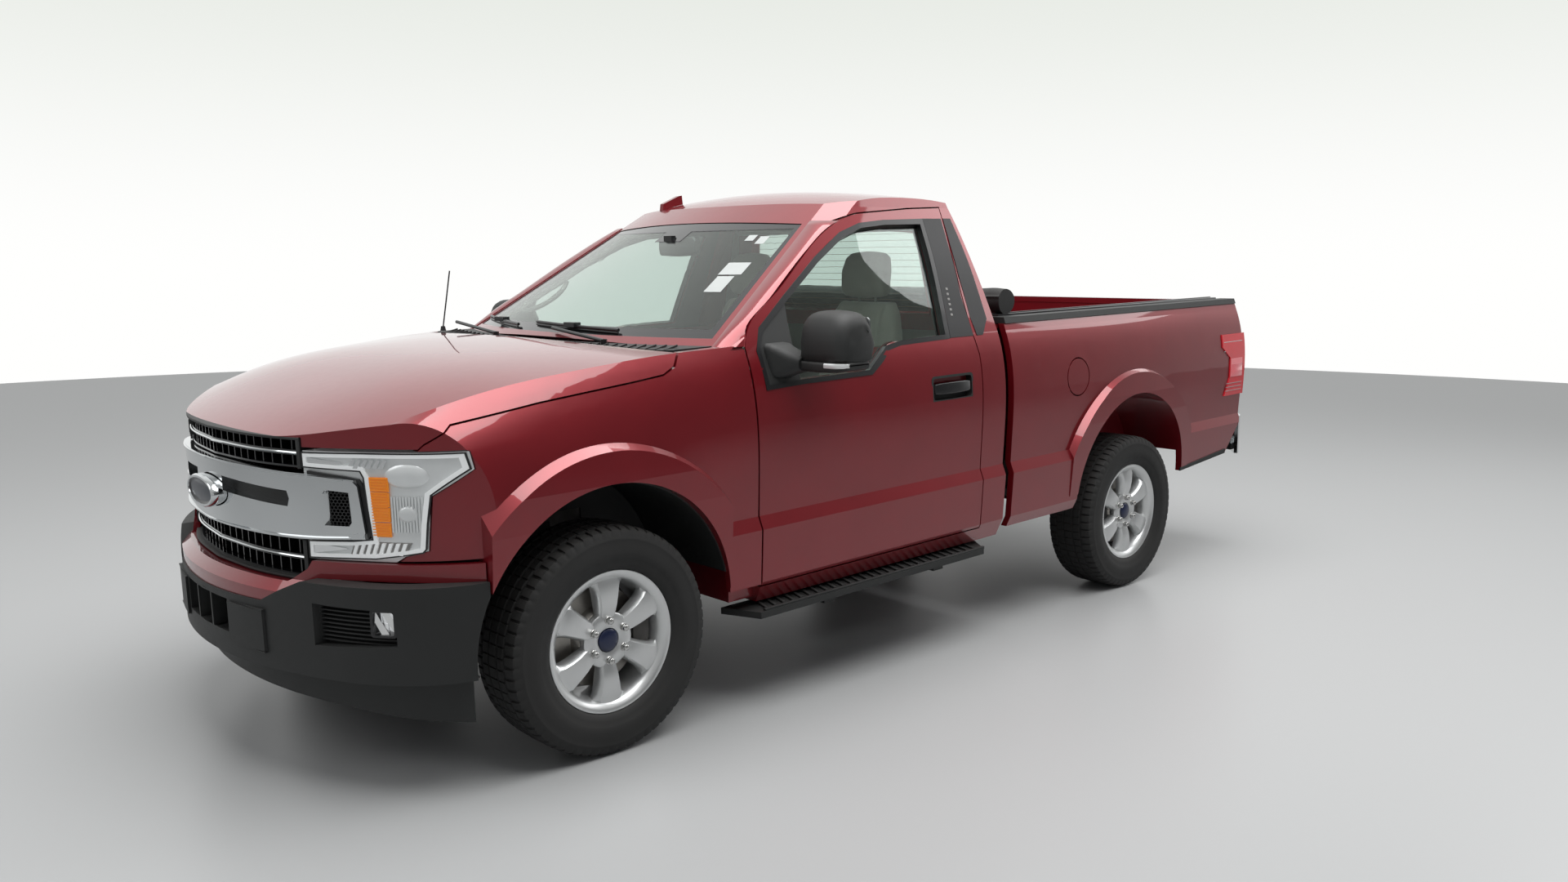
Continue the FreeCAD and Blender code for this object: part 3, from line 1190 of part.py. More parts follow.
TYRE_PROFILE = [
    ("sizes.bead_radius", "-sizes.bead_width / 2"),
    ("sizes.rim_flange_radius + 1", "-sizes.bead_width / 2"),
    ("sizes.sidewall_radius", "-sizes.tyre_width / 2"),
    ("sizes.tyre_radius - sizes.tyre_shoulder", "-sizes.tyre_width / 2 + 6"),
    ("sizes.tyre_radius", "-sizes.tread_width / 2"),
    ("sizes.tyre_radius", "sizes.tread_width / 2"),
    ("sizes.tyre_radius - sizes.tyre_shoulder", "sizes.tyre_width / 2 - 6"),
    ("sizes.sidewall_radius", "sizes.tyre_width / 2"),
    ("sizes.rim_flange_radius + 1", "sizes.bead_width / 2"),
    ("sizes.bead_radius", "sizes.bead_width / 2"),
]
RIM_PROFILE = [
    ("sizes.hub_bore_radius", "sizes.wheel_inset"),
    ("sizes.hub_radius", "sizes.wheel_inset"),
    ("sizes.hub_radius + 30", "sizes.wheel_inset + 22"),
    ("sizes.rim_barrel_radius - 14", "sizes.wheel_inset + 30"),
    ("sizes.rim_barrel_radius - 6", "-sizes.rim_width / 2"),
    ("sizes.rim_flange_radius", "-sizes.rim_width / 2"),
    ("sizes.rim_flange_radius", "-sizes.rim_width / 2 + 5.7"),
    ("sizes.bead_radius - 0.3", "-sizes.rim_width / 2 + 5.7"),
    ("sizes.bead_radius - 0.3", "sizes.rim_width / 2 - 5.7"),
    ("sizes.rim_flange_radius", "sizes.rim_width / 2 - 5.7"),
    ("sizes.rim_flange_radius", "sizes.rim_width / 2"),
    ("sizes.rim_barrel_radius + 14", "sizes.rim_width / 2"),
    ("sizes.rim_barrel_radius - 2", "sizes.rim_width / 2 - 24"),
    ("sizes.hub_radius + 30", "sizes.wheel_inset + 54"),
    ("sizes.hub_radius - 16", "sizes.wheel_inset + 40"),
    ("sizes.hub_bore_radius", "sizes.wheel_inset + 40"),
]


def turned(body, name, pairs):
    """A revolution about the wheel's own axis, which is the body's Y axis."""
    sketch = sketch_on(body, name + "_profile", "XY_Plane", pairs)
    doc.recompute()
    feature = body.newObject("PartDesign::Revolution", name + "_turned")
    feature.Profile = sketch
    feature.ReferenceAxis = (origin_feature(body, "Y_Axis"), [""])
    feature.Angle = 360
    sketch.Visibility = False
    doc.recompute()
    return feature


def tyre(name, placement):
    body = wheel_body(name)
    turned(body, name, TYRE_PROFILE)
    body.Placement = placement
    NODES.append(body)


def rim(name, placement):
    """A six-spoke rim with its centre cap, hub and brake disc."""
    body = wheel_body(name + "_cast")
    turned(body, name, RIM_PROFILE)
    low, high = "sizes.hub_radius + 14", "sizes.rim_barrel_radius - 20"
    window = sketch_on(body, name + "_window", "XZ_Plane", [
        (low, "-((sizes.hub_radius + 14) * 0.5 - sizes.spoke_half_width + 4)"),
        (high, "-((sizes.rim_barrel_radius - 20) * 0.5 - sizes.spoke_half_width)"),
        (high, "(sizes.rim_barrel_radius - 20) * 0.5 - sizes.spoke_half_width"),
        (low, "(sizes.hub_radius + 14) * 0.5 - sizes.spoke_half_width + 4"),
    ])
    doc.recompute()
    pocket = body.newObject("PartDesign::Pocket", name + "_window_cut")
    pocket.Profile = window
    pocket.Type = "ThroughAll"
    pocket.Midplane = True
    doc.recompute()
    pattern = body.newObject("PartDesign::PolarPattern", name + "_windows")
    pattern.Originals = [pocket]
    pattern.Axis = (origin_feature(body, "Y_Axis"), [""])
    pattern.Angle = 360
    pattern.setExpression("Occurrences", "sizes.spoke_count")
    body.Tip = pattern
    doc.recompute()
    disc = doc.addObject("Part::Cylinder", name + "_disc")
    disc.setExpression("Radius", "sizes.disc_radius")
    disc.setExpression("Height", "sizes.disc_width")
    disc.Placement = FreeCAD.Placement(Vector(0, size.disc_outboard, 0), FreeCAD.Rotation(Vector(1, 0, 0), 90))
    cap = doc.addObject("Part::Cylinder", name + "_hub")
    cap.setExpression("Radius", "sizes.hub_bore_radius + 2")
    cap.Height = 92
    cap.Placement = FreeCAD.Placement(Vector(0, 86, 0), FreeCAD.Rotation(Vector(1, 0, 0), 90))
    whole = doc.addObject("Part::MultiFuse", name + "_whole")
    whole.Shapes = [body, disc, cap]
    doc.recompute()
    whole.Label = name
    whole.Placement = placement
    NODES.append(whole)


def knuckle():
    """The left steering knuckle with its brake caliper and spindle."""
    x, z = size.front_axle_x, size.tyre_radius
    y = size.kingpin_y
    upright = box(x - 34, x + 34, y - 26, y + 26, z - 112, z + 142)
    studs = rod((x, y, z - 200), (x, y, z - 80), 11.3).fuse(rod((x, y, z + 110), (x, y, z + 260), 11.3))
    spindle = rod((x, y, z), (x, disc_inner_y() - size.fit_gap, z), 32)
    carrier = rod((x, y, z), (x, y + 40, z), 62)
    arm = prism("plan", [(x - 30, y - 26), (x - 30, y + 10), (x - 150, y - 30), (x - 150, y - 62)], z - 60, z - 36)
    hold = box(x - 150, x - 20, y + 6, y + 30, z - 60, z + 60)
    caliper = box(x - 190, x - 120, y + 6, disc_inner_y() + size.disc_width + 34, z - 80, z + 80)
    slot = rod((x, disc_inner_y() - 5, z), (x, disc_inner_y() + size.disc_width + 5, z), size.disc_radius + 5)
    limit = rod((x, y - 100, z), (x, y + 200, z), size.rim_barrel_radius - 22)
    body = joined([upright, spindle, carrier, arm, hold, caliper.cut(slot).common(limit)])
    return body.cut(studs)


def wheel_places():
    """Each wheel's name and the placement that stands it on the ground."""
    turn = FreeCAD.Rotation(Vector(0, 0, 1), 180)
    places = []
    for end, x in (("front", size.front_axle_x), ("rear", REAR_AXLE_X)):
        places.append((f"{end}_left", FreeCAD.Placement(Vector(x, WHEEL_HALF, size.tyre_radius), FreeCAD.Rotation())))
        places.append((f"{end}_right", FreeCAD.Placement(Vector(x, -WHEEL_HALF, size.tyre_radius), turn)))
    return places


# The whole truck
def build():
    add_node("frame", frame())
    add_node("engine", engine())
    add_node("steering_rack", steering_rack())
    add_node("front_suspension", front_suspension(), LEVEL)
    add_node("rear_axle", rear_axle(), LEVEL)
    add_node("leaf_springs", leaf_springs())
    add_node("exhaust", exhaust())
    add_node("fuel_tank", fuel_tank())
    add_node("spare_wheel", spare_wheel())
    add_node("cab", cab_shell())
    add_node("windscreen", windscreen())
    add_node("rear_window", rear_window())
    add_node("seat", seat())
    add_node("dashboard", dashboard())
    add_node("steering_wheel", steering_wheel())
    add_node("cowl", cowl())
    add_node("wipers", wipers())
    add_node("hood", hood_panel())
    add_node("fenders", both_sides(fender()))
    add_node("wheel_liners", both_sides(front_liner()))
    add_node("headlamps", both_sides(headlamp()))
    add_node("grille_bar", grille_bar())
    add_node("grille", grille())
    add_node("bumper_cover", bumper_cover())
    add_node("front_bumper", front_bumper())
    add_node("air_dam", air_dam())
    add_node("fog_lamps", both_sides(fog_lamp()))
    door = door_shell()
    glass = door_glass()
    fittings = door_fittings()
    add_node("door_left", door)
    add_node("door_left_glass", glass)
    add_node("door_left_fittings", fittings)
    add_node("door_right", mirrored(door))
    add_node("door_right_glass", mirrored(glass))
    add_node("door_right_fittings", mirrored(fittings))
    add_node("bed", bed_tub())
    add_node("bed_sides", both_sides(bed_side()))
    add_node("bed_rails", bed_rails())
    add_node("tonneau_roll", tonneau_roll())
    add_node("tail_lamps", both_sides(tail_lamp()))
    add_node("fuel_door", fuel_door())
    add_node("tailgate", tailgate())
    add_node("rear_bumper", rear_bumper())
    add_node("side_steps", both_sides(side_step()))
    add_node("aerial_mast", aerials())
    add_node("roof_fin", roof_fin())
    add_node("knuckle_left", knuckle(), LEVEL)
    add_node("knuckle_right", mirrored(knuckle()), LEVEL)
    for name, placement in wheel_places():
        tyre(f"tyre_{name}", placement)
        rim(f"rim_{name}", placement)


def check_and_write():
    """Stops on any failed object, then writes one file for each sub-part."""
    doc.recompute()
    for item in doc.Objects:
        if "Invalid" in item.State or "Error" in item.State:
            raise RuntimeError(f"{item.Label} failed: {item.State}")
    os.makedirs("parts", exist_ok=True)
    for item in NODES:
        shape = item.Shape
        if shape.isNull() or not shape.isValid():
            raise RuntimeError(f"{item.Label} has no valid shape")
        shape.exportStep(f"parts/{item.Label}.step")


build()
check_and_write()
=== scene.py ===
"""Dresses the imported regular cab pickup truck: finishes, tyres, lamps, trim and the inside of the cab.

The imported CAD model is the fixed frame. Sizes here are millimetres on the level body, as a panel beater would
measure them, and Place turns them into the frame's metres, because the body leans nose down over its springs.
"""
from __future__ import annotations

import json
import logging
import math
from dataclasses import dataclass, field
from enum import Enum
from typing import Callable, Sequence

import bmesh
import bpy
from mathutils import Matrix, Vector

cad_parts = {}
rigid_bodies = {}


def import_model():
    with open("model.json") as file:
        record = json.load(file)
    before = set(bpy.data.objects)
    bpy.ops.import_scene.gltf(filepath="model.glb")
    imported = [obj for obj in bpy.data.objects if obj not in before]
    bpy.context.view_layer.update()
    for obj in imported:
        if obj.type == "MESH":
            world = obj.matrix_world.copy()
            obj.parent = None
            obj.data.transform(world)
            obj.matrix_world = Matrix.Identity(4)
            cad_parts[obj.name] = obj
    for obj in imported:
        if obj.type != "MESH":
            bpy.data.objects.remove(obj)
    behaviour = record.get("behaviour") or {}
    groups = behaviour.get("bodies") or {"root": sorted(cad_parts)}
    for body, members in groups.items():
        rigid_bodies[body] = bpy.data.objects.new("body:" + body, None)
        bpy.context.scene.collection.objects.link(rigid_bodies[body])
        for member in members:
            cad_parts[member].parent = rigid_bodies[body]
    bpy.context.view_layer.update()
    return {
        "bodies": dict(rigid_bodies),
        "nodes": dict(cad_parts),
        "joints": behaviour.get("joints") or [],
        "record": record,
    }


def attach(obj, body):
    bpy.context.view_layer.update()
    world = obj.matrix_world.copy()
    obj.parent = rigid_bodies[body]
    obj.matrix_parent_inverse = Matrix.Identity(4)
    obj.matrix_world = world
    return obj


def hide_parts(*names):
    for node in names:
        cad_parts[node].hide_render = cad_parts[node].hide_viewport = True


LOG = logging.getLogger("pickup")
Point = tuple[float, float, float]
Flat = tuple[float, float]
Socket = bpy.types.NodeSocket
Mesh = bmesh.types.BMesh
Verts = list[bmesh.types.BMVert]

RAKE = math.radians(1.3)
RAKE_PIVOT = Vector((1.708, 0.0, 0.376))
FRONT_AXLE = 1708.0
REAR_AXLE = -1401.0
HALF_TRACK = 858.5
AXLE_HEIGHT = 380.0


class Place(Enum):
    """What a piece's millimetres are measured on."""

    SPRUNG = "the body, which leans nose down over the springs"
    ROAD = "the axles and the ground"

    def matrix(self) -> Matrix:
        """Returns: the matrix from millimetres to the frame's metres."""
        scale = Matrix.Scale(0.001, 4)
        if self is Place.ROAD:
            return scale
        lean = Matrix.Rotation(RAKE, 4, "Y")
        return Matrix.Translation(RAKE_PIVOT) @ lean @ Matrix.Translation(-RAKE_PIVOT) @ scale


# Finishes
class Grain(Enum):
    """The kinds of fine surface that a finish can have."""

    NONE = "smooth"
    PEEL = "orange peel of sprayed paint"
    PEBBLE = "moulded pebble texture"
    CAST = "rough casting"
    WEAVE = "woven cloth"
    BRUSHED = "fine turned or brushed lines"


@dataclass(frozen=True)
class Finish:
    """One finish, by the numbers of its shader and of its fine surface."""

    name: str
    colour: Point
    roughness: float = 0.5
    metallic: float = 0.0
    coat: float = 0.0
    transmission: float = 0.0
    ior: float = 1.45
    sheen: float = 0.0
    glow: float = 0.0
    grain: Grain = Grain.NONE
    grain_size: float = 0.001
    grain_depth: float = 0.0
    mottle: float = 0.0
    dust: float = 0.0
    slot: str = "black_plastic"


FINISHES = {
    finish.name: finish
    for finish in (
        Finish("ruby_paint", (0.205, 0.006, 0.012), 0.34, 0.50, 1.0, grain=Grain.PEEL, grain_size=0.0012,
               grain_depth=0.00001, mottle=0.05, slot="red_paint"),
        Finish("moulded_black", (0.013, 0.014, 0.014), 0.50, grain=Grain.PEBBLE, grain_size=0.0011,
               grain_depth=0.00022, mottle=0.10, dust=0.04, slot="black_plastic"),
        Finish("satin_black", (0.010, 0.010, 0.011), 0.32, coat=0.2, mottle=0.06, slot="black_plastic"),
        Finish("gloss_black", (0.006, 0.006, 0.007), 0.12, coat=0.6, mottle=0.03, slot="black_plastic"),
        Finish("pillar_black", (0.008, 0.008, 0.009), 0.42, coat=0.0, grain=Grain.PEEL, grain_size=0.0014,
               grain_depth=0.00001, mottle=0.04, slot="black_plastic"),
        Finish("carpet", (0.035, 0.034, 0.033), 0.95, grain=Grain.CAST, grain_size=0.0016, grain_depth=0.0012,
               mottle=0.25, dust=0.1, slot="dark_plastic"),
        Finish("frame_coat", (0.020, 0.020, 0.020), 0.5, grain=Grain.CAST, grain_size=0.004,
               grain_depth=0.0003, mottle=0.25, dust=0.18, slot="frame_black"),
        Finish("cast_iron", (0.13, 0.125, 0.12), 0.62, 0.7, grain=Grain.CAST, grain_size=0.003,
               grain_depth=0.0005, mottle=0.3, dust=0.15, slot="cast_dark"),
        Finish("pipe_steel", (0.34, 0.32, 0.29), 0.42, 0.9, grain=Grain.BRUSHED, grain_size=0.002,
               grain_depth=0.0001, mottle=0.25, dust=0.1, slot="steel"),
        Finish("chrome", (0.64, 0.66, 0.67), 0.07, 1.0, mottle=0.02, slot="bright_chrome"),
        Finish("wheel_silver", (0.60, 0.61, 0.61), 0.30, 0.72, 0.35, grain=Grain.PEEL, grain_size=0.0016,
               grain_depth=0.00002, mottle=0.05, dust=0.03, slot="silver_alloy"),
        Finish("disc_steel", (0.42, 0.40, 0.37), 0.34, 0.95, grain=Grain.BRUSHED, grain_size=0.0015,
               grain_depth=0.00008, mottle=0.2, slot="silver_alloy"),
        Finish("nut_steel", (0.50, 0.50, 0.49), 0.18, 1.0, slot="silver_alloy"),
        Finish("tyre_rubber", (0.012, 0.012, 0.012), 0.62, grain=Grain.PEBBLE, grain_size=0.0022,
               grain_depth=0.00018, mottle=0.18, dust=0.08, slot="tyre_rubber"),
        Finish("cover_vinyl", (0.018, 0.018, 0.018), 0.56, grain=Grain.PEBBLE, grain_size=0.0014,
               grain_depth=0.00025, mottle=0.12, dust=0.05, slot="vinyl"),
        Finish("seat_cloth", (0.37, 0.345, 0.315), 0.92, sheen=0.25, grain=Grain.WEAVE, grain_size=0.0032,
               grain_depth=0.0004, mottle=0.10, slot="grey_cloth"),
        Finish("headliner", (0.42, 0.41, 0.385), 0.95, grain=Grain.WEAVE, grain_size=0.002,
               grain_depth=0.0002, mottle=0.05, slot="grey_cloth"),
        Finish("dash_moulding", (0.036, 0.037, 0.040), 0.6, grain=Grain.PEBBLE, grain_size=0.0013,
               grain_depth=0.0002, mottle=0.08, slot="dark_plastic"),
        Finish("trim_grey", (0.25, 0.245, 0.235), 0.6, grain=Grain.PEBBLE, grain_size=0.0013,
               grain_depth=0.00018, mottle=0.06, slot="dark_plastic"),
        Finish("window_glass", (0.70, 0.79, 0.75), 0.0, transmission=1.0, ior=1.45, slot="clear_glass"),
        Finish("lamp_white", (0.66, 0.68, 0.68), 0.20, 0.35, 0.5, glow=0.05, mottle=0.10, slot="lamp_glass"),
        Finish("reflector", (0.86, 0.87, 0.88), 0.12, 1.0, mottle=0.03, slot="bright_chrome"),
        Finish("amber_lens", (0.85, 0.26, 0.01), 0.2, coat=0.6, glow=0.12, slot="lamp_glass"),
        Finish("red_lens", (0.52, 0.008, 0.018), 0.12, coat=1.0, glow=0.10, slot="lamp_red"),
        Finish("pink_lens", (0.72, 0.16, 0.18), 0.15, coat=1.0, glow=0.10, slot="lamp_red"),
        Finish("cap_blue", (0.005, 0.011, 0.045), 0.35, coat=0.3, mottle=0.05, slot="black_plastic"),
        Finish("pod_blank", (0.030, 0.036, 0.050), 0.35, 0.2, 0.3, mottle=0.08, slot="bright_chrome"),
        Finish("lamp_bright", (0.86, 0.88, 0.88), 0.14, 0.3, 0.6, glow=0.16, mottle=0.04, slot="lamp_glass"),
        Finish("mirror_glass", (0.75, 0.77, 0.78), 0.02, 1.0, slot="bright_chrome"),
        Finish("blank_label", (0.42, 0.44, 0.43), 0.45, mottle=0.05, slot="dark_plastic"),
        Finish("heater_line", (0.25, 0.17, 0.10), 0.5, 0.2, slot="black_plastic"),
    )
}


class Patch:
    """Wires shader nodes into one node tree, each call adding one node and giving its output."""

    def __init__(self, tree: bpy.types.NodeTree) -> None:
        """Takes the tree to wire."""
        self.tree = tree

    def feed(self, value: Socket | float, socket: Socket) -> None:
        """Gives a node's input a value, which is a number or another node's output."""
        if isinstance(value, bpy.types.NodeSocket):
            self.tree.links.new(value, socket)
        else:
            socket.default_value = value

    def sum(self, operation: str, *values: Socket | float) -> Socket:
        """Adds a math node.

        Args:
            operation: what the node works out.
            values: its inputs in order.

        Returns: its output.
        """
        node = self.tree.nodes.new("ShaderNodeMath")
        node.operation = operation
        for value, socket in zip(values, node.inputs):
            self.feed(value, socket)
        return node.outputs[0]

    def spread(self, value: Socket, given: Flat, wanted: Sequence,
               smooth: bool = False) -> Socket:
        """Maps a value from one range onto another.

        Args:
            value: the value.
            given: the range it comes in.
            wanted: the range it goes to, as numbers or outputs.
            smooth: whether the change eases in and out.

        Returns: the mapped value.
        """
        node = self.tree.nodes.new("ShaderNodeMapRange")
        if smooth:
            node.interpolation_type = "SMOOTHSTEP"
        names = ("Value", "From Min", "From Max", "To Min", "To Max")
        for name, entry in zip(names, (value, *given, *wanted)):
            self.feed(entry, node.inputs[name])
        return node.outputs["Result"]

    def noise(self, place: Socket, scale: float, detail: float = 2.0) -> Socket:
        """Adds a noise texture of a scale and detail at a place."""
        node = self.tree.nodes.new("ShaderNodeTexNoise")
        node.inputs["Scale"].default_value = scale
        node.inputs["Detail"].default_value = detail
        self.tree.links.new(place, node.inputs["Vector"])
        return node.outputs["Fac"]

    def parts(self, vector: Socket) -> bpy.types.NodeOutputs:
        """Splits a vector into its X, Y and Z."""
        node = self.tree.nodes.new("ShaderNodeSeparateXYZ")
        self.tree.links.new(vector, node.inputs[0])
        return node.outputs

    def blend(self, factor: Socket, first: Socket | tuple,
              last: tuple) -> Socket:
        """Blends from a first colour to a last one."""
        node = self.tree.nodes.new("ShaderNodeMix")
        node.data_type = "RGBA"
        for name, entry in (("Factor", factor), ("A", first), ("B", last)):
            self.feed(entry, node.inputs[name])
        return node.outputs["Result"]


class Finishes:
    """Builds each finish's material once and hands it out by name."""

    DUST = (0.30, 0.28, 0.25, 1.0)
    COAT_ROUGHNESS = 0.03
    BUMP_STRENGTH = 0.6

    def __init__(self) -> None:
        """Makes the shared surface group; the materials follow as they are asked for."""
        self.group = self._surface_group()
        self.made: dict[str, bpy.types.Material] = {}

    def _surface_group(self) -> bpy.types.NodeTree:
        """The shared effect: mottled colour, dust that settles on upward faces, and uneven roughness.

        Returns: the shader node group.
        """
        group = bpy.data.node_groups.new("worked_surface", "ShaderNodeTree")
        face = group.interface
        face.new_socket(name="Colour", in_out="INPUT", socket_type="NodeSocketColor")
        for name in ("Roughness", "Mottle", "Dust"):
            face.new_socket(name=name, in_out="INPUT", socket_type="NodeSocketFloat")
        face.new_socket(name="Colour", in_out="OUTPUT", socket_type="NodeSocketColor")
        face.new_socket(name="Roughness", in_out="OUTPUT", socket_type="NodeSocketFloat")
        nodes, links, patch = group.nodes, group.links, Patch(group)
        given, out = nodes.new("NodeGroupInput"), nodes.new("NodeGroupOutput")
        mottle = given.outputs["Mottle"]
        place = nodes.new("ShaderNodeTexCoord").outputs["Object"]
        broad, fine = patch.noise(place, 5.0, 5.0), patch.noise(place, 38.0, 4.0)
        ends = (patch.sum("SUBTRACT", 1.0, mottle), patch.sum("ADD", 1.0, mottle))
        shade = patch.spread(broad, (0.3, 0.7), ends)
        scaled = nodes.new("ShaderNodeVectorMath")
        scaled.operation = "SCALE"
        links.new(given.outputs["Colour"], scaled.inputs[0])
        links.new(shade, scaled.inputs["Scale"])
        normal = patch.parts(nodes.new("ShaderNodeNewGeometry").outputs["Normal"])
        upward = patch.spread(normal["Z"], (-0.4, 1.0), (0.0, 1.0))
        dust = patch.sum("MULTIPLY", patch.sum("MULTIPLY", upward, fine), given.outputs["Dust"])
        links.new(patch.blend(dust, scaled.outputs[0], self.DUST), out.inputs["Colour"])
        dull = patch.sum("MULTIPLY_ADD", dust, 0.5, given.outputs["Roughness"])
        links.new(patch.sum("MULTIPLY_ADD", fine, mottle, dull), out.inputs["Roughness"])
        return group

    def _relief(self, tree: bpy.types.NodeTree, finish: Finish) -> Socket:
        """Adds the texture that stands for the finish's grain.

        Args:
            tree: the material's node tree.
            finish: the finish whose grain it is.

        Returns: the height output.
        """
        nodes, links, patch = tree.nodes, tree.links, Patch(tree)
        place = nodes.new("ShaderNodeTexCoord").outputs["Object"]
        scale = 1.0 / finish.grain_size
        if finish.grain is Grain.WEAVE:
            threads = []
            for direction in ("X", "Z"):
                wave = nodes.new("ShaderNodeTexWave")
                wave.bands_direction = direction
                wave.inputs["Scale"].default_value = scale * 0.32
                wave.inputs["Distortion"].default_value = 0.4
                links.new(place, wave.inputs["Vector"])
                threads.append(wave.outputs["Fac"])
            return patch.sum("ADD", *threads)
        if finish.grain is Grain.BRUSHED:
            stretch = nodes.new("ShaderNodeMapping")
            stretch.inputs["Scale"].default_value = (1.0, 12.0, 1.0)
            links.new(place, stretch.inputs["Vector"])
            return patch.noise(stretch.outputs["Vector"], scale * 0.2)
        if finish.grain is Grain.PEBBLE:
            cells = nodes.new("ShaderNodeTexVoronoi")
            cells.feature = "SMOOTH_F1"
            cells.inputs["Scale"].default_value = scale
            links.new(place, cells.inputs["Vector"])
            return cells.outputs["Distance"]
        return patch.noise(place, scale, 3.0)

    def get(self, name: str) -> bpy.types.Material:
        """Gives a finish's material, building it the first time.

        Args:
            name: the finish's name.

        Returns: the material.
        """
        if name in self.made:
            return self.made[name]
        finish = FINISHES[name]
        material = bpy.data.materials.new(name)
        material.use_nodes = True
        tree = material.node_tree
        shader = tree.nodes["Principled BSDF"]
        colour = (*finish.colour, 1.0)
        values = (("Metallic", finish.metallic), ("IOR", finish.ior), ("Coat Weight", finish.coat),
                  ("Coat Roughness", self.COAT_ROUGHNESS), ("Sheen Weight", finish.sheen),
                  ("Transmission Weight", finish.transmission), ("Roughness", finish.roughness),
                  ("Base Color", colour))
        for socket, value in values:
            shader.inputs[socket].default_value = value
        if finish.glow:
            shader.inputs["Emission Color"].default_value = colour
            shader.inputs["Emission Strength"].default_value = finish.glow
        if not finish.transmission and (finish.mottle or finish.dust):
            surface = tree.nodes.new("ShaderNodeGroup")
            surface.node_tree = self.group
            values = (("Colour", colour), ("Roughness", finish.roughness), ("Mottle", finish.mottle),
                      ("Dust", finish.dust))
            for socket, value in values:
                surface.inputs[socket].default_value = value
            for socket, fed in (("Colour", "Base Color"), ("Roughness", "Roughness")):
                tree.links.new(surface.outputs[socket], shader.inputs[fed])
        if finish.grain is not Grain.NONE:
            bump = tree.nodes.new("ShaderNodeBump")
            bump.inputs["Distance"].default_value = finish.grain_depth
            bump.inputs["Strength"].default_value = self.BUMP_STRENGTH
            tree.links.new(self._relief(tree, finish), bump.inputs["Height"])
            tree.links.new(bump.outputs["Normal"], shader.inputs["Normal"])
        self.made[name] = material
        return material


# Bench tools
def drum(bm: Mesh, start: Point, end: Point, low: float, high: float | None = None,
         sides: int = 32) -> Verts:
    """Adds a closed cylinder or cone between two points.

    Args:
        bm: the mesh being built.
        start: centre of the first end.
        end: centre of the second end.
        low: radius at the first end.
        high: radius at the second end, the same if left out.
        sides: facets round it.

    Returns: the new vertices.
    """
    a, b = Vector(start), Vector(end)
    turn = (b - a).to_track_quat("Z", "Y").to_matrix().to_4x4()
    made = bmesh.ops.create_cone(bm, cap_ends=True, segments=sides, radius1=low,
                                 radius2=low if high is None else high, depth=(b - a).length,
                                 matrix=Matrix.Translation((a + b) / 2) @ turn)
    return made["verts"]


def block(bm: Mesh, low: Point, high: Point) -> Verts:
    """Adds a box between two corners.

    Args:
        bm: the mesh being built.
        low: lowest corner.
        high: highest corner.

    Returns: the new vertices.
    """
    a, b = Vector(low), Vector(high)
    size = Matrix.Diagonal((*(b - a), 1.0))
    return bmesh.ops.create_cube(bm, size=1.0, matrix=Matrix.Translation((a + b) / 2) @ size)["verts"]


def slab(bm: Mesh, outline: Sequence[Point], depth: Point) -> Verts:
    """Adds a flat outline pushed along a depth vector.

    Args:
        bm: the mesh being built.
        outline: the corners, in order.
        depth: how far and which way it is pushed.

    Returns: the new vertices.
    """
    corners = [bm.verts.new(point) for point in outline]
    face = bm.faces.new(corners)
    pushed = bmesh.ops.extrude_face_region(bm, geom=[face], use_keep_orig=True)["geom"]
    moved = [item for item in pushed if isinstance(item, bmesh.types.BMVert)]
    bmesh.ops.translate(bm, verts=moved, vec=depth)
    return corners + moved


def tube(bm: Mesh, points: Sequence[Point], radius: float, sides: int = 4,
         smooth: bool = True) -> None:
    """Adds a round bar that follows a line of points.

    Args:
        bm: the mesh being built.
        points: the line.
        radius: the bar's radius.
        sides: the curve's bevel resolution.
        smooth: whether the line is rounded between its points.
    """
    curve = bpy.data.curves.new("bar_line", "CURVE")
    curve.dimensions = "3D"
    curve.bevel_depth = radius
    curve.bevel_resolution = sides
    curve.use_fill_caps = True
    curve.resolution_u = 8
    spline = curve.splines.new("NURBS" if smooth else "POLY")
    spline.points.add(len(points) - 1)
    for item, point in zip(spline.points, points):
        item.co = (*point, 1.0)
    if smooth:
        spline.order_u = 3
        spline.use_endpoint_u = True
    holder = bpy.data.objects.new("bar_line", curve)
    mesh = bpy.data.meshes.new_from_object(holder)
    bm.from_mesh(mesh)
    bpy.data.objects.remove(holder)
    bpy.data.curves.remove(curve)
    bpy.data.meshes.remove(mesh)


def loft(bm: Mesh, rings: Sequence[Sequence[Point]], closed: bool = True,
         caps: bool = True) -> Verts:
    """Extrudes a first row of points through the other rows.

    Args:
        bm: the mesh being built.
        rings: rows of points, all of one length.
        closed: whether each row joins up into a ring.
        caps: whether the first and last ring are filled.

    Returns: the new vertices.
    """
    row = [bm.verts.new(point) for point in rings[0]]
    edges = [bm.edges.new(pair) for pair in zip(row, row[1:])]
    if closed:
        edges.append(bm.edges.new((row[-1], row[0])))
    first, made = row, list(row)
    for ring in rings[1:]:
        grown = bmesh.ops.extrude_edge_only(bm, edges=edges)["geom"]
        fresh = {item for item in grown if isinstance(item, bmesh.types.BMVert)}
        ahead = []
        for old, point in zip(row, ring):
            new = next(edge.other_vert(old) for edge in old.link_edges if edge.other_vert(old) in fresh)
            new.co = point
            ahead.append(new)
        edges = [item for item in grown if isinstance(item, bmesh.types.BMEdge)
                 and item.verts[0] in fresh and item.verts[1] in fresh]
        row = ahead
        made += row
    if closed and caps:
        bm.faces.new(first)
        bm.faces.new(row)
    return made


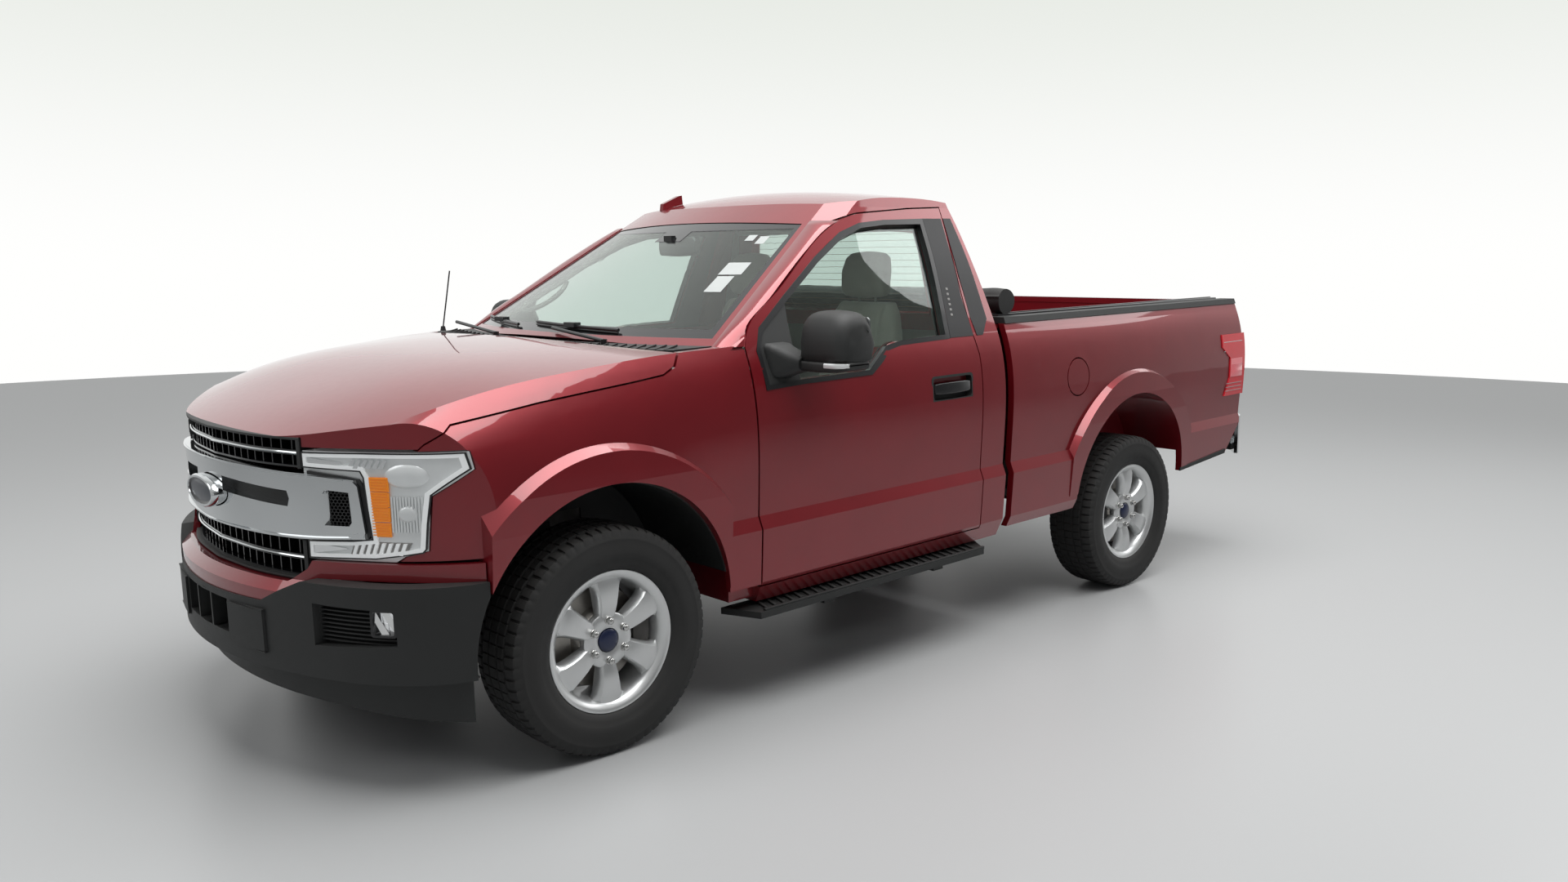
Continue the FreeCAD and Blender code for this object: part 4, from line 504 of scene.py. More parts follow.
def lay_band(bm: Mesh, spot: Callable[[Flat, float], Point], edge_a: Sequence[Flat],
             edge_b: Sequence[Flat], low: float, high: float, joined_up: bool, step: float) -> None:
    """Lays a band between two lines of pairs onto a surface.

    Args:
        bm: the mesh being built.
        spot: gives the point for a pair and a height over the surface.
        edge_a: the first line.
        edge_b: the second line, with as many pairs.
        low: how proud the band's back is.
        high: how proud its face is.
        joined_up: whether the lines are closed loops.
        step: the longest facet.
    """
    pairs = list(zip(edge_a, edge_b))
    if joined_up:
        pairs.append(pairs[0])
    rings = []
    for (a, b), (c, d) in zip(pairs, pairs[1:]):
        count = max(1, math.ceil(max(math.dist(a, c), math.dist(b, d)) / step))
        for i in range(count):
            p, q = (tuple(Vector(first).lerp(Vector(last), i / count)) for first, last in ((a, c), (b, d)))
            rings.append([spot(p, low), spot(p, high), spot(q, high), spot(q, low)])
    p, q = pairs[-1]
    rings.append([spot(p, low), spot(p, high), spot(q, high), spot(q, low)])
    loft(bm, rings, caps=not joined_up)


def stepped(low: float, high: float, step: float) -> list[float]:
    """Divides a stretch into even steps.

    Args:
        low: start of the stretch.
        high: end of the stretch.
        step: the longest step.

    Returns: the places, both ends among them.
    """
    count = max(1, math.ceil(abs(high - low) / step))
    return [low + (high - low) * i / count for i in range(count + 1)]


def rounded_ring(low: Flat, high: Flat, radius: float, steps: int = 4) -> list[Flat]:
    """Gives the outline of a rectangle with round corners.

    Args:
        low: its lowest corner.
        high: its highest corner.
        radius: the corner radius.
        steps: facets in each corner.

    Returns: the outline's points, in order.
    """
    centres = [(high[0] - radius, high[1] - radius, 0), (low[0] + radius, high[1] - radius, 90),
               (low[0] + radius, low[1] + radius, 180), (high[0] - radius, low[1] + radius, 270)]
    ring = []
    for a, b, start in centres:
        for i in range(steps + 1):
            turn = math.radians(start + 90 * i / steps)
            ring.append((a + radius * math.cos(turn), b + radius * math.sin(turn)))
    return ring


def loft_across(bm: Mesh, levels: Sequence[tuple], radius: float, steps: int = 4) -> None:
    """Lofts upright rectangles with round corners from one side of the truck towards the other.

    Args:
        bm: the mesh being built.
        levels: distance from the middle, rear, front, bottom and top of each rectangle.
        radius: the corner radius.
        steps: facets in each corner.
    """
    loft(bm, [[(x, y, z) for x, z in rounded_ring((rear, low), (front, high), radius, steps)]
              for y, rear, front, low, high in levels])


class SmoothLine:
    """A smooth line through (key, value) pairs that never swings past them."""

    def __init__(self, *pairs: Flat) -> None:
        """Takes the pairs in rising order of their key and works out a slope at each."""
        self.keys = [pair[0] for pair in pairs]
        self.values = [pair[1] for pair in pairs]
        rises = [(self.values[i + 1] - self.values[i]) / (self.keys[i + 1] - self.keys[i])
                 for i in range(len(pairs) - 1)]
        inner = [0.0 if a * b <= 0 else 2 * a * b / (a + b) for a, b in zip(rises, rises[1:])]
        self.slopes = [rises[0]] + inner + [rises[-1]]

    def at(self, key: float) -> float:
        """Reads the line at a key, and straight on past its ends."""
        if key <= self.keys[0]:
            return self.values[0] + (key - self.keys[0]) * self.slopes[0]
        if key >= self.keys[-1]:
            return self.values[-1] + (key - self.keys[-1]) * self.slopes[-1]
        i = max(j for j in range(len(self.keys) - 1) if self.keys[j] <= key)
        span = self.keys[i + 1] - self.keys[i]
        t = (key - self.keys[i]) / span
        square, cube = t ** 2, t ** 3
        start = (2 * cube - 3 * square + 1) * self.values[i] + (cube - 2 * square + t) * span * self.slopes[i]
        end = (3 * square - 2 * cube) * self.values[i + 1] + (cube - square) * span * self.slopes[i + 1]
        return start + end

    def slope(self, key: float) -> float:
        """Reads how steeply the line rises at a key."""
        return self.at(key + 0.5) - self.at(key - 0.5)


@dataclass(frozen=True)
class FrontPlan:
    """A front face's edge seen from above: how far forward it is at each distance from the middle."""

    line: SmoothLine

    def point(self, y: float, out: float, z: float) -> Point:
        """Finds a point on the face or in front of it.

        Args:
            y: distance from the middle, measured on the face.
            out: how far in front of the face, square to it.
            z: height.

        Returns: the point.
        """
        slope = self.line.slope(abs(y))
        across = math.hypot(1.0, slope)
        side = math.copysign(1.0, y)
        return (self.line.at(abs(y)) + out / across, y - side * slope * out / across, z)

    def sweep(self, bm: Mesh, section: Callable[[float], Sequence[Flat]], y_low: float,
              y_high: float, step: float = 30.0) -> None:
        """Runs a closed section of (out, z) pairs along the face.

        Args:
            bm: the mesh being built.
            section: gives the section's pairs at a distance from the middle.
            y_low: where it starts.
            y_high: where it ends.
            step: the longest facet.
        """
        loft(bm, [[self.point(y, out, z) for out, z in section(y)] for y in stepped(y_low, y_high, step)])

    def strip(self, bm: Mesh, y_low: float, y_high: float, z_low: float, z_high: float,
              out_low: float, out_high: float, step: float = 30.0) -> None:
        """Runs a plain rectangular strip along the face."""
        section = [(out_low, z_low), (out_high, z_low), (out_high, z_high), (out_low, z_high)]
        self.sweep(bm, lambda _: section, y_low, y_high, step)

    def ribbon(self, bm: Mesh, side: float, edge_a: Sequence[Flat], edge_b: Sequence[Flat],
               low: float, high: float, joined_up: bool = True) -> None:
        """Lays a band between two lines of (y, z) pairs onto one side of the face.

        Args:
            bm: the mesh being built.
            side: 1 for the left side, -1 for the right.
            edge_a: the first line.
            edge_b: the second line, with as many pairs.
            low: how proud its back is.
            high: how proud its face is.
            joined_up: whether the lines are closed loops.
        """
        lay_band(bm, lambda pair, out: self.point(side * pair[0], out, pair[1]), edge_a, edge_b, low, high,
                 joined_up, 30.0)


NOSE = FrontPlan(SmoothLine((0, 2590), (250, 2568), (492, 2504), (690, 2388), (832, 2280), (940, 2150),
                            (985, 2060)))
BUMPER = FrontPlan(SmoothLine((0, 2650), (380, 2602), (630, 2514), (830, 2400), (945, 2260), (984, 2146)))


class BodySide:
    """The body's side surface, by its half width at each height."""

    LOW = SmoothLine((330, 932), (368, 932), (448, 970), (645, 985), (692, 966))
    MIDDLE = SmoothLine((692, 966), (930, 979), (1110, 971), (1268, 930))
    HIGH = SmoothLine((1268, 930), (1550, 818), (1794, 697))

    def half(self, z: float) -> float:
        """Gives the half width at a height."""
        line = self.LOW if z < 692 else self.MIDDLE if z < 1268 else self.HIGH
        return line.at(z)

    def point(self, x: float, z: float, out: float = 0.0, side: float = 1.0) -> Point:
        """Finds a point on the side or proud of it.

        Args:
            x: place along the truck.
            z: height.
            out: how far proud, square to the side.
            side: 1 for the left side, -1 for the right.

        Returns: the point.
        """
        slope = self.half(z + 1) - self.half(z - 1)
        across = math.hypot(2.0, slope)
        return (x, side * (self.half(z) + out * 2.0 / across), z - out * slope / across)

    def ribbon(self, bm: Mesh, edge_a: Sequence[Flat], edge_b: Sequence[Flat], low: float,
               high: float, joined_up: bool = True, step: float = 40.0) -> None:
        """Lays a band between two lines of (x, z) pairs onto the side.

        Args:
            bm: the mesh being built.
            edge_a: the first line.
            edge_b: the second line, with as many pairs.
            low: how proud its back is.
            high: how proud its face is.
            joined_up: whether the lines are closed loops.
            step: the longest facet.
        """
        lay_band(bm, lambda pair, out: self.point(*pair, out), edge_a, edge_b, low, high, joined_up, step)


SIDE = BodySide()


class Screen:
    """The bowed windscreen's outer face, between its base and its top."""

    BASE = (1304.0, 1160.0, 852.0, 1312.0)
    TOP = (1752.0, 456.0, 632.0, 574.0)

    def point(self, across: float, z: float, out: float = 0.0) -> Point:
        """Finds a point on the glass or proud of it.

        Args:
            across: -1 at the right-hand corner, 1 at the left-hand corner.
            z: height.
            out: how far proud.

        Returns: the point.
        """
        up = (z - self.BASE[0]) / (self.TOP[0] - self.BASE[0])
        corner_x, corner_y, centre_x = (a + (b - a) * up for a, b in zip(self.BASE[1:], self.TOP[1:]))
        lean = math.atan2(self.TOP[0] - self.BASE[0], self.BASE[3] - self.TOP[3])
        x = centre_x - (centre_x - corner_x) * across ** 2
        return (x + out * math.sin(lean), across * corner_y, z + out * math.cos(lean))

    def patch(self, bm: Mesh, across: Flat, z: Flat, low: float, high: float,
              steps: int = 8) -> None:
        """Lays a flat patch onto the glass.

        Args:
            bm: the mesh being built.
            across: its two sides.
            z: its bottom and top.
            low: how proud its back is.
            high: how proud its face is.
            steps: facets across it.
        """
        rings = []
        for t in stepped(across[0], across[1], abs(across[1] - across[0]) / steps):
            rings.append([self.point(t, z[0], low), self.point(t, z[0], high), self.point(t, z[1], high),
                          self.point(t, z[1], low)])
        loft(bm, rings)


SCREEN = Screen()


def round_edges(bm: Mesh, width: float, segments: int = 2, sharper_than: float = 30.0) -> None:
    """Bevels every edge sharper than an angle.

    Args:
        bm: the mesh being built.
        width: bevel width.
        segments: facets across the bevel.
        sharper_than: the angle in degrees.
    """
    limit = math.radians(sharper_than)
    edges = [edge for edge in bm.edges if edge.is_manifold and edge.calc_face_angle(0.0) > limit]
    bmesh.ops.bevel(bm, geom=edges, offset=width, offset_type="OFFSET", segments=segments, profile=0.5,
                    affect="EDGES", material=-1, clamp_overlap=True)


def mirror_over_middle(bm: Mesh) -> None:
    """Adds the right-hand twin of everything in the mesh."""
    bmesh.ops.mirror(bm, geom=bm.verts[:] + bm.edges[:] + bm.faces[:], axis="Y", merge_dist=-1.0)


@dataclass
class Bench:
    """Turns a bmesh into a dressed piece that rides on a body."""

    frame: dict
    finishes: Finishes
    count: int = 0

    def piece(self, bm: Mesh, name: str, body: str, finish: str, place: Place = Place.SPRUNG,
              smooth: float = 35.0) -> bpy.types.Object:
        """Finishes a mesh as a piece.

        Args:
            bm: the mesh in millimetres; it is freed.
            name: the piece's name.
            body: the CAD body it moves with.
            finish: the finish's name.
            place: what the millimetres are measured on.
            smooth: edges sharper than this many degrees stay crisp.

        Returns: the new object.
        """
        bm.transform(place.matrix())
        bmesh.ops.remove_doubles(bm, verts=bm.verts, dist=1e-6)
        bmesh.ops.recalc_face_normals(bm, faces=bm.faces)
        item = self.show(bm, name, body, finish)
        item.data.set_sharp_from_angle(angle=math.radians(smooth))
        return item

    def show(self, bm: Mesh, name: str, body: str, finish: str) -> bpy.types.Object:
        """Puts a mesh into the scene as it is.

        Args:
            bm: the mesh in the frame's metres; it is freed.
            name: the piece's name.
            body: the CAD body it moves with.
            finish: the finish's name.

        Returns: the new object.
        """
        mesh = bpy.data.meshes.new(name)
        bm.to_mesh(mesh)
        bm.free()
        mesh.shade_smooth()
        mesh.materials.append(self.finishes.get(finish))
        item = bpy.data.objects.new(name, mesh)
        bpy.context.scene.collection.objects.link(item)
        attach(item, body)
        self.count += 1
        LOG.info("piece %s: %d faces, %s", name, len(mesh.polygons), finish)
        return item

    def coat(self, node: str, finish: str) -> None:
        """Gives a CAD node a finish and leaves its mesh alone."""
        data = self.frame["nodes"][node].data
        data.materials.clear()
        data.materials.append(self.finishes.get(finish))


# The pieces that the CAD model already has
@dataclass
class CadCoats:
    """Which finish each CAD node wears."""

    bench: Bench
    painted: tuple[str, ...] = ("cab", "hood", "fenders", "bumper_cover", "bed", "bed_sides", "door_left",
                                "door_right", "fuel_door", "tailgate", "roof_fin")
    glazed: tuple[str, ...] = ("windscreen", "rear_window", "door_left_glass", "door_right_glass")
    bright: tuple[str, ...] = ("grille_bar", "rear_bumper")
    plain: dict[str, str] = field(default_factory=lambda: {
        "frame": "frame_coat", "engine": "cast_iron", "steering_rack": "cast_iron",
        "front_suspension": "frame_coat", "rear_axle": "frame_coat", "leaf_springs": "frame_coat",
        "exhaust": "pipe_steel", "fuel_tank": "moulded_black", "spare_wheel": "tyre_rubber",
        "seat": "seat_cloth", "dashboard": "dash_moulding", "steering_wheel": "dash_moulding",
        "cowl": "moulded_black", "wipers": "satin_black", "wheel_liners": "moulded_black",
        "headlamps": "lamp_white", "grille": "moulded_black", "front_bumper": "moulded_black",
        "air_dam": "moulded_black", "fog_lamps": "lamp_white", "door_left_fittings": "moulded_black",
        "door_right_fittings": "moulded_black", "bed_rails": "moulded_black", "tonneau_roll": "cover_vinyl",
        "tail_lamps": "red_lens", "side_steps": "moulded_black", "aerial_mast": "satin_black",
        "knuckle_left": "cast_iron", "knuckle_right": "cast_iron"})

    def dress(self) -> None:
        """Coats every CAD node."""
        for nodes, finish in ((self.painted, "ruby_paint"), (self.glazed, "window_glass"),
                              (self.bright, "chrome")):
            for node in nodes:
                self.bench.coat(node, finish)
        for node, finish in self.plain.items():
            self.bench.coat(node, finish)
        for end in ("front_left", "front_right", "rear_left", "rear_right"):
            self.bench.coat("tyre_" + end, "tyre_rubber")
            self.bench.coat("rim_" + end, "wheel_silver")
        LOG.info("dressed %d CAD nodes", len(self.bench.frame["nodes"]))


# Wheels
@dataclass
class Wheel:
    """One road wheel: tread, sidewalls, six-spoke rim, cap, nuts and brake disc."""

    bench: Bench
    end: str
    centre: Point
    outward: float
    radius: float = 379.5
    pitches: int = 64
    groove_depth: float = 7.5
    slot_depth: float = 6.0
    spokes: int = 6
    nut_circle: float = 67.5
    disc_radius: float = 166.0

    def build(self) -> None:
        """Makes the pieces of this wheel."""
        end, body, piece = self.end, "wheel_" + self.end, self.bench.piece
        tyre = piece(self._tyre(), "tyre_" + end + "_dressed", body, "tyre_rubber", Place.ROAD)
        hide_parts("tyre_" + end)
        rim = piece(self._rim(), "rim_" + end + "_dressed", body, "wheel_silver", Place.ROAD, 40.0)
        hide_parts("rim_" + end)
        piece(self._disc(), "brake_disc_" + end, body, "disc_steel", Place.ROAD)
        piece(self._nuts(), "wheel_nuts_" + end, body, "nut_steel", Place.ROAD)
        piece(self._cap(), "centre_cap_" + end, body, "cap_blue", Place.ROAD)

    def _at(self, radius: float, along: float, angle: float) -> Point:
        """Places a point of the wheel.

        Args:
            radius: distance from the axle line.
            along: distance outboard of the wheel's middle plane.
            angle: turn round the axle in degrees, 0 upward.

        Returns: the point on the road's axes.
        """
        turn = math.radians(angle)
        x, y, z = self.centre
        return (x + radius * math.sin(turn), y + self.outward * along, z + radius * math.cos(turn))

    def _tread(self, slotted: bool, siped: bool) -> list[Flat]:
        """Gives the tyre's whole section as (radius, along) pairs.

        Args:
            slotted: whether the shoulders are cut by a slot here.
            siped: whether the middle ribs are cut by a sipe here.

        Returns: the pairs, from the inner bead round the tread to the outer bead and back.
        """
        top = self.radius
        shoulder = top - (self.slot_depth if slotted else 0.0)
        rib = top - (4.0 if siped else 0.0)
        floor = top - self.groove_depth
        half = [(rib, 0), (rib, 18), (floor, 20), (floor, 28), (rib - 0.5, 30), (rib - 0.8, 60), (floor, 62),
                (floor, 71), (shoulder - 1, 73), (shoulder - 3, 96),
                (shoulder - 9 + (3 if slotted else 0), 111), (shoulder - 24 + (4 if slotted else 0), 118),
                (346, 119.5), (343, 121), (338, 121), (335, 120.5), (322, 122), (300, 122.5), (280, 121),
                (278, 119.8), (262, 116), (246, 109.5), (240, 103), (236, 98), (222, 96)]
        inner = [(222, 60), (300, 60)]
        right = [(radius, along) for radius, along in half[1:] + inner]
        left = [(radius, -along) for radius, along in right]
        return list(reversed(left)) + [half[0]] + right

    def _tyre(self) -> Mesh:
        """Makes the tyre with its grooves, shoulder slots and sipes."""
        bm = bmesh.new()
        pitch = 360.0 / self.pitches
        cuts = [(0.0, False, False), (0.05, True, False), (0.26, True, False), (0.31, False, False),
                (0.55, False, False), (0.58, False, True), (0.68, False, True), (0.71, False, False)]
        rings = []
        for n in range(self.pitches):
            for part, slotted, siped in cuts:
                section = self._tread(slotted, siped)
                rings.append([self._at(radius, along, (n + part) * pitch) for radius, along in section])
        rings.append(rings[0])
        loft(bm, rings, caps=False)
        return bm

    def _turn(self, bm: Mesh, section: Sequence[Flat], step: float) -> None:
        """Turns a closed section of (radius, along) pairs round the axle.

        Args:
            bm: the mesh being built.
            section: the pairs, in order.
            step: degrees from one row of points to the next.
        """
        loft(bm, [[self._at(radius, along, angle) for radius, along in section]
                  for angle in stepped(0.0, 360.0, step)], caps=False)

    def _rim(self) -> Mesh:
        """Makes barrel, lip, hub and spokes as one casting."""
        bm = bmesh.new()
        self._turn(bm, [(236, 103), (238, 99), (236, 95.5), (221, 95), (210, 86), (205, 60), (196, 24),
                        (196, -60), (206, -84), (221, -95), (236, -96), (238, -99), (236, -103), (220, -100),
                        (206, -92), (190, -60), (190, 24), (199, 60), (205, 84), (213, 93), (222, 99),
                        (229, 103)], 4.0)
        self._turn(bm, [(38, 50), (90, 50), (94, 66), (92, 76), (86, 80.5), (52, 82), (46, 79), (41, 78),
                        (38, 74)], 6.0)
        for n in range(self.spokes):
            self._spoke(bm, n * 360.0 / self.spokes)
        return bm

    def _spoke(self, bm: Mesh, angle: float) -> None:
        """Adds one broad spoke with a flat plateau and slanted flanks.

        Args:
            bm: the mesh being built.
            angle: the spoke's turn round the axle in degrees.
        """
        stations = [(62, 24, 34, 80), (84, 25, 35, 82), (100, 27, 37, 87), (120, 29, 39, 92),
                    (150, 33, 43, 94), (178, 38, 49, 92), (194, 43, 57, 89), (203, 40, 68, 87),
                    (211, 34, 84, 87)]
        rings = []
        for radius, face, foot, height in stations:
            section = [(-foot, 46), (-foot, height - 18), (-face - 3, height - 5), (-face, height - 1.5),
                       (-face * 0.5, height), (0, height + 0.5), (face * 0.5, height), (face, height - 1.5),
                       (face + 3, height - 5), (foot, height - 18), (foot, 46)]
            rings.append([self._at(radius, along, angle + math.degrees(math.atan2(across, radius)))
                          for across, along in section])
        loft(bm, rings)

    def _disc(self) -> Mesh:
        """Makes the vented brake disc and its hat."""
        bm = bmesh.new()
        self._turn(bm, [(self.disc_radius, 12), (self.disc_radius, -10), (96, -10), (96, 26), (84, 42),
                        (40, 42), (40, 48), (90, 48), (100, 34), (104, 14), (108, 12)], 5.0)
        return bm

    def _nuts(self) -> Mesh:
        """Makes the wheel nuts, each a cone seat, a hexagon and a domed end."""
        bm = bmesh.new()
        levels = [(74, 84, 15.5, 14.0, 24), (84, 100, 12.4, 11.2, 6), (100, 104, 10.0, 5.0, 18)]
        for n in range(self.spokes):
            angle = n * 360.0 / self.spokes
            for low, high, first, second, sides in levels:
                start, end = (self._at(self.nut_circle, along, angle) for along in (low, high))
                drum(bm, start, end, first, second, sides)
        round_edges(bm, 0.8, 1)
        return bm

    def _cap(self) -> Mesh:
        """Makes the plain domed centre cap."""
        bm = bmesh.new()
        self._turn(bm, [(0.5, 60), (36.5, 60), (38, 76), (37.5, 80), (34, 83), (24, 86), (10, 87.5),
                        (0.5, 88)], 7.5)
        return bm


# The nose
@dataclass
class Grille:
    """The grilles above and below the chrome bar, and what sits in the bar."""

    bench: Bench
    half: float = 508.0
    openings: tuple[Flat, ...] = ((666.0, 786.0), (1004.0, 1094.0))
    cells: int = 22
    divider: float = 5.0
    mesh_pitch: float = 11.0
    mesh_rows: int = 11
    mesh_columns: int = 8
    mesh_start: Flat = (596.0, 842.0)
    mesh_end: float = 668.0
    bar_low: SmoothLine = field(default_factory=lambda: SmoothLine((0, 790), (540, 795), (704, 802)))
    bar_high: SmoothLine = field(default_factory=lambda: SmoothLine((0, 998), (540, 990), (684, 976)))
    pod_face: float = 2622.0
    pod_height: float = 888.0
    pod_sides: int = 48
    bar_end: tuple[Flat, ...] = ((645, 980), (676, 974), (688, 960), (702, 820), (694, 806), (655, 801))

    def build(self) -> None:
        """Makes the cells, the bright strips, the bar's rim, the meshes and the blank pod."""
        cells = self.bench.piece(self._cells(), "grille_cells", "chassis", "gloss_black")
        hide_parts("grille")
        self.bench.piece(self._strips(), "grille_bright_strips", "chassis", "chrome")
        self.bench.piece(self._rim(), "bar_raised_rim", "chassis", "chrome")
        self.bench.piece(self._gap(), "bar_end_gap", "chassis", "satin_black")
        self.bench.piece(self._slots(), "bar_slot_floors", "chassis", "moulded_black")
        self.bench.piece(self._meshes(), "bar_mesh_insets", "chassis", "satin_black")
        self._pod()
        self.bench.piece(self._surround(), "grille_surround", "chassis", "moulded_black")

    def _cells(self) -> Mesh:
        """Makes the dark cells of both grilles: a back, three rails and the upright dividers."""
        bm = bmesh.new()
        for low, high in self.openings:
            middle = (low + high) / 2
            NOSE.strip(bm, -self.half, self.half, low, high, -62, -58)
            for bottom, top in ((low, low + 6), (middle - 8, middle + 8), (high - 6, high)):
                NOSE.strip(bm, -self.half, self.half, bottom, top, -60, -14)
            for y in stepped(-self.half, self.half, 2 * self.half / self.cells)[1:-1]:
                NOSE.strip(bm, y - self.divider / 2, y + self.divider / 2, low, high, -60, -22)
        return bm

    def _strips(self) -> Mesh:
        """Makes the bright strip along the middle rail of each grille."""
        bm = bmesh.new()
        for low, high in self.openings:
            middle = (low + high) / 2
            section = [(-16, middle - 4.5), (-9, middle - 3.5), (-6, middle), (-9, middle + 3.5),
                       (-16, middle + 4.5)]
            NOSE.sweep(bm, lambda _, pairs=section: pairs, -self.half + 6, self.half - 6)
        return bm

    def _rim(self) -> Mesh:
        """Makes the raised edges along the bar's top and bottom."""
        bm = bmesh.new()
        for side in (-1.0, 1.0):
            NOSE.sweep(bm, lambda y: self._lip(self.bar_low.at(abs(y)), 5.0), 0.0, side * 660.0, 25.0)
            NOSE.sweep(bm, lambda y: self._lip(self.bar_high.at(abs(y)), -5.0), 0.0, side * 650.0, 25.0)
            NOSE.ribbon(bm, side, self.bar_end, [(645, 970), (668, 962), (676, 948), (690, 832), (682, 818),
                                                 (655, 812)], 9, 19, False)
        return bm

    def _gap(self) -> Mesh:
        """Makes the black line between the bar's ends and the lamps."""
        bm = bmesh.new()
        for side in (-1.0, 1.0):
            NOSE.ribbon(bm, side, [(540, 1001), (645, 988), (686, 980), (698, 962), (712, 818), (704, 800),
                                   (655, 794), (540, 788)],
                        [(540, 992), (645, 980), (678, 972), (688, 958), (702, 822), (696, 808), (655, 802),
                         (540, 796)], -6, 7, False)
        return bm

    def _lip(self, z: float, width: float) -> list[Flat]:
        """Gives the raised edge's section at a height, widening up or down from it."""
        return [(10, z), (20, z + width * 0.15), (20, z + width), (13, z + width * 1.6), (10, z + width)]

    def _slots(self) -> Mesh:
        """Makes the black floors behind the bar's slots and mesh openings."""
        bm = bmesh.new()
        for side in (-1.0, 1.0):
            NOSE.strip(bm, side * 112, side * 482, 884, 952, -26, -18)
            NOSE.strip(bm, side * 586, side * 676, 832, 950, -34, -26)
        return bm

    def _meshes(self) -> Mesh:
        """Makes the honeycomb that fills the outer ends of the bar."""
        bm = bmesh.new()
        radius = self.mesh_pitch / math.sqrt(3.0)
        for side in (-1.0, 1.0):
            for row in range(self.mesh_rows):
                for column in range(self.mesh_columns):
                    y = self.mesh_start[0] + column * self.mesh_pitch + (row % 2) * self.mesh_pitch / 2
                    z = self.mesh_start[1] + row * radius * 1.5
                    if y > self.mesh_end:
                        continue
                    levels = ((0.98, -20), (0.98, -4), (0.74, -4), (0.74, -20), (0.98, -20))
                    loft(bm, [[self._hex(side, y, z, radius * part, out, n) for n in range(6)]
                              for part, out in levels], caps=False)
        return bm

    def _hex(self, side: float, y: float, z: float, radius: float, out: float, corner: int) -> Point:
        """Gives one corner of a mesh cell."""
        turn = math.radians(60 * corner + 30)
        return NOSE.point(side * (y + radius * math.cos(turn)), out, z + radius * math.sin(turn))

    def _oval(self, wide: float, tall: float, out: float) -> list[Point]:
        """Gives an oval ring in front of the pod."""
        turns = [math.tau * n / self.pod_sides for n in range(self.pod_sides)]
        return [(self.pod_face + out - 20.0, wide * math.cos(turn), self.pod_height + tall * math.sin(turn))
                for turn in turns]

    def _pod(self) -> None:
        """Makes the pod's chrome ring, black bezel and dark blank centre."""
        ring = ((126, 54, 10), (126, 54, 26), (121, 49, 33), (114, 42, 33), (112, 40, 27), (112, 40, 10))
        bezel = ((113, 41, 20), (113, 41, 30), (104, 34, 27), (104, 34, 20))
        centre = ((105, 35, 18), (105, 35, 27), (70, 22, 30.5), (20, 6, 31.5))
        for name, finish, ovals in (("pod_ring", "chrome", ring), ("pod_bezel", "satin_black", bezel),
                                    ("pod_blank_centre", "pod_blank", centre)):
            bm = bmesh.new()
            loft(bm, [self._oval(*oval) for oval in ovals], caps=ovals is centre)
            self.bench.piece(bm, name, "chassis", finish)

    def _surround(self) -> Mesh:
        """Makes the slanted black ends and the lip round both grilles."""
        bm = bmesh.new()
        for side in (-1.0, 1.0):
            NOSE.strip(bm, side * 503, side * 519, 664, 786, -40, 4)
            NOSE.strip(bm, side * 503, side * 519, 1004, 1092, -40, 2)
        NOSE.strip(bm, -518, 518, 1090, 1098, -40, 2)
        NOSE.strip(bm, -518, 518, 660, 667, -40, 6)
        round_edges(bm, 1.5, 2)
        return bm


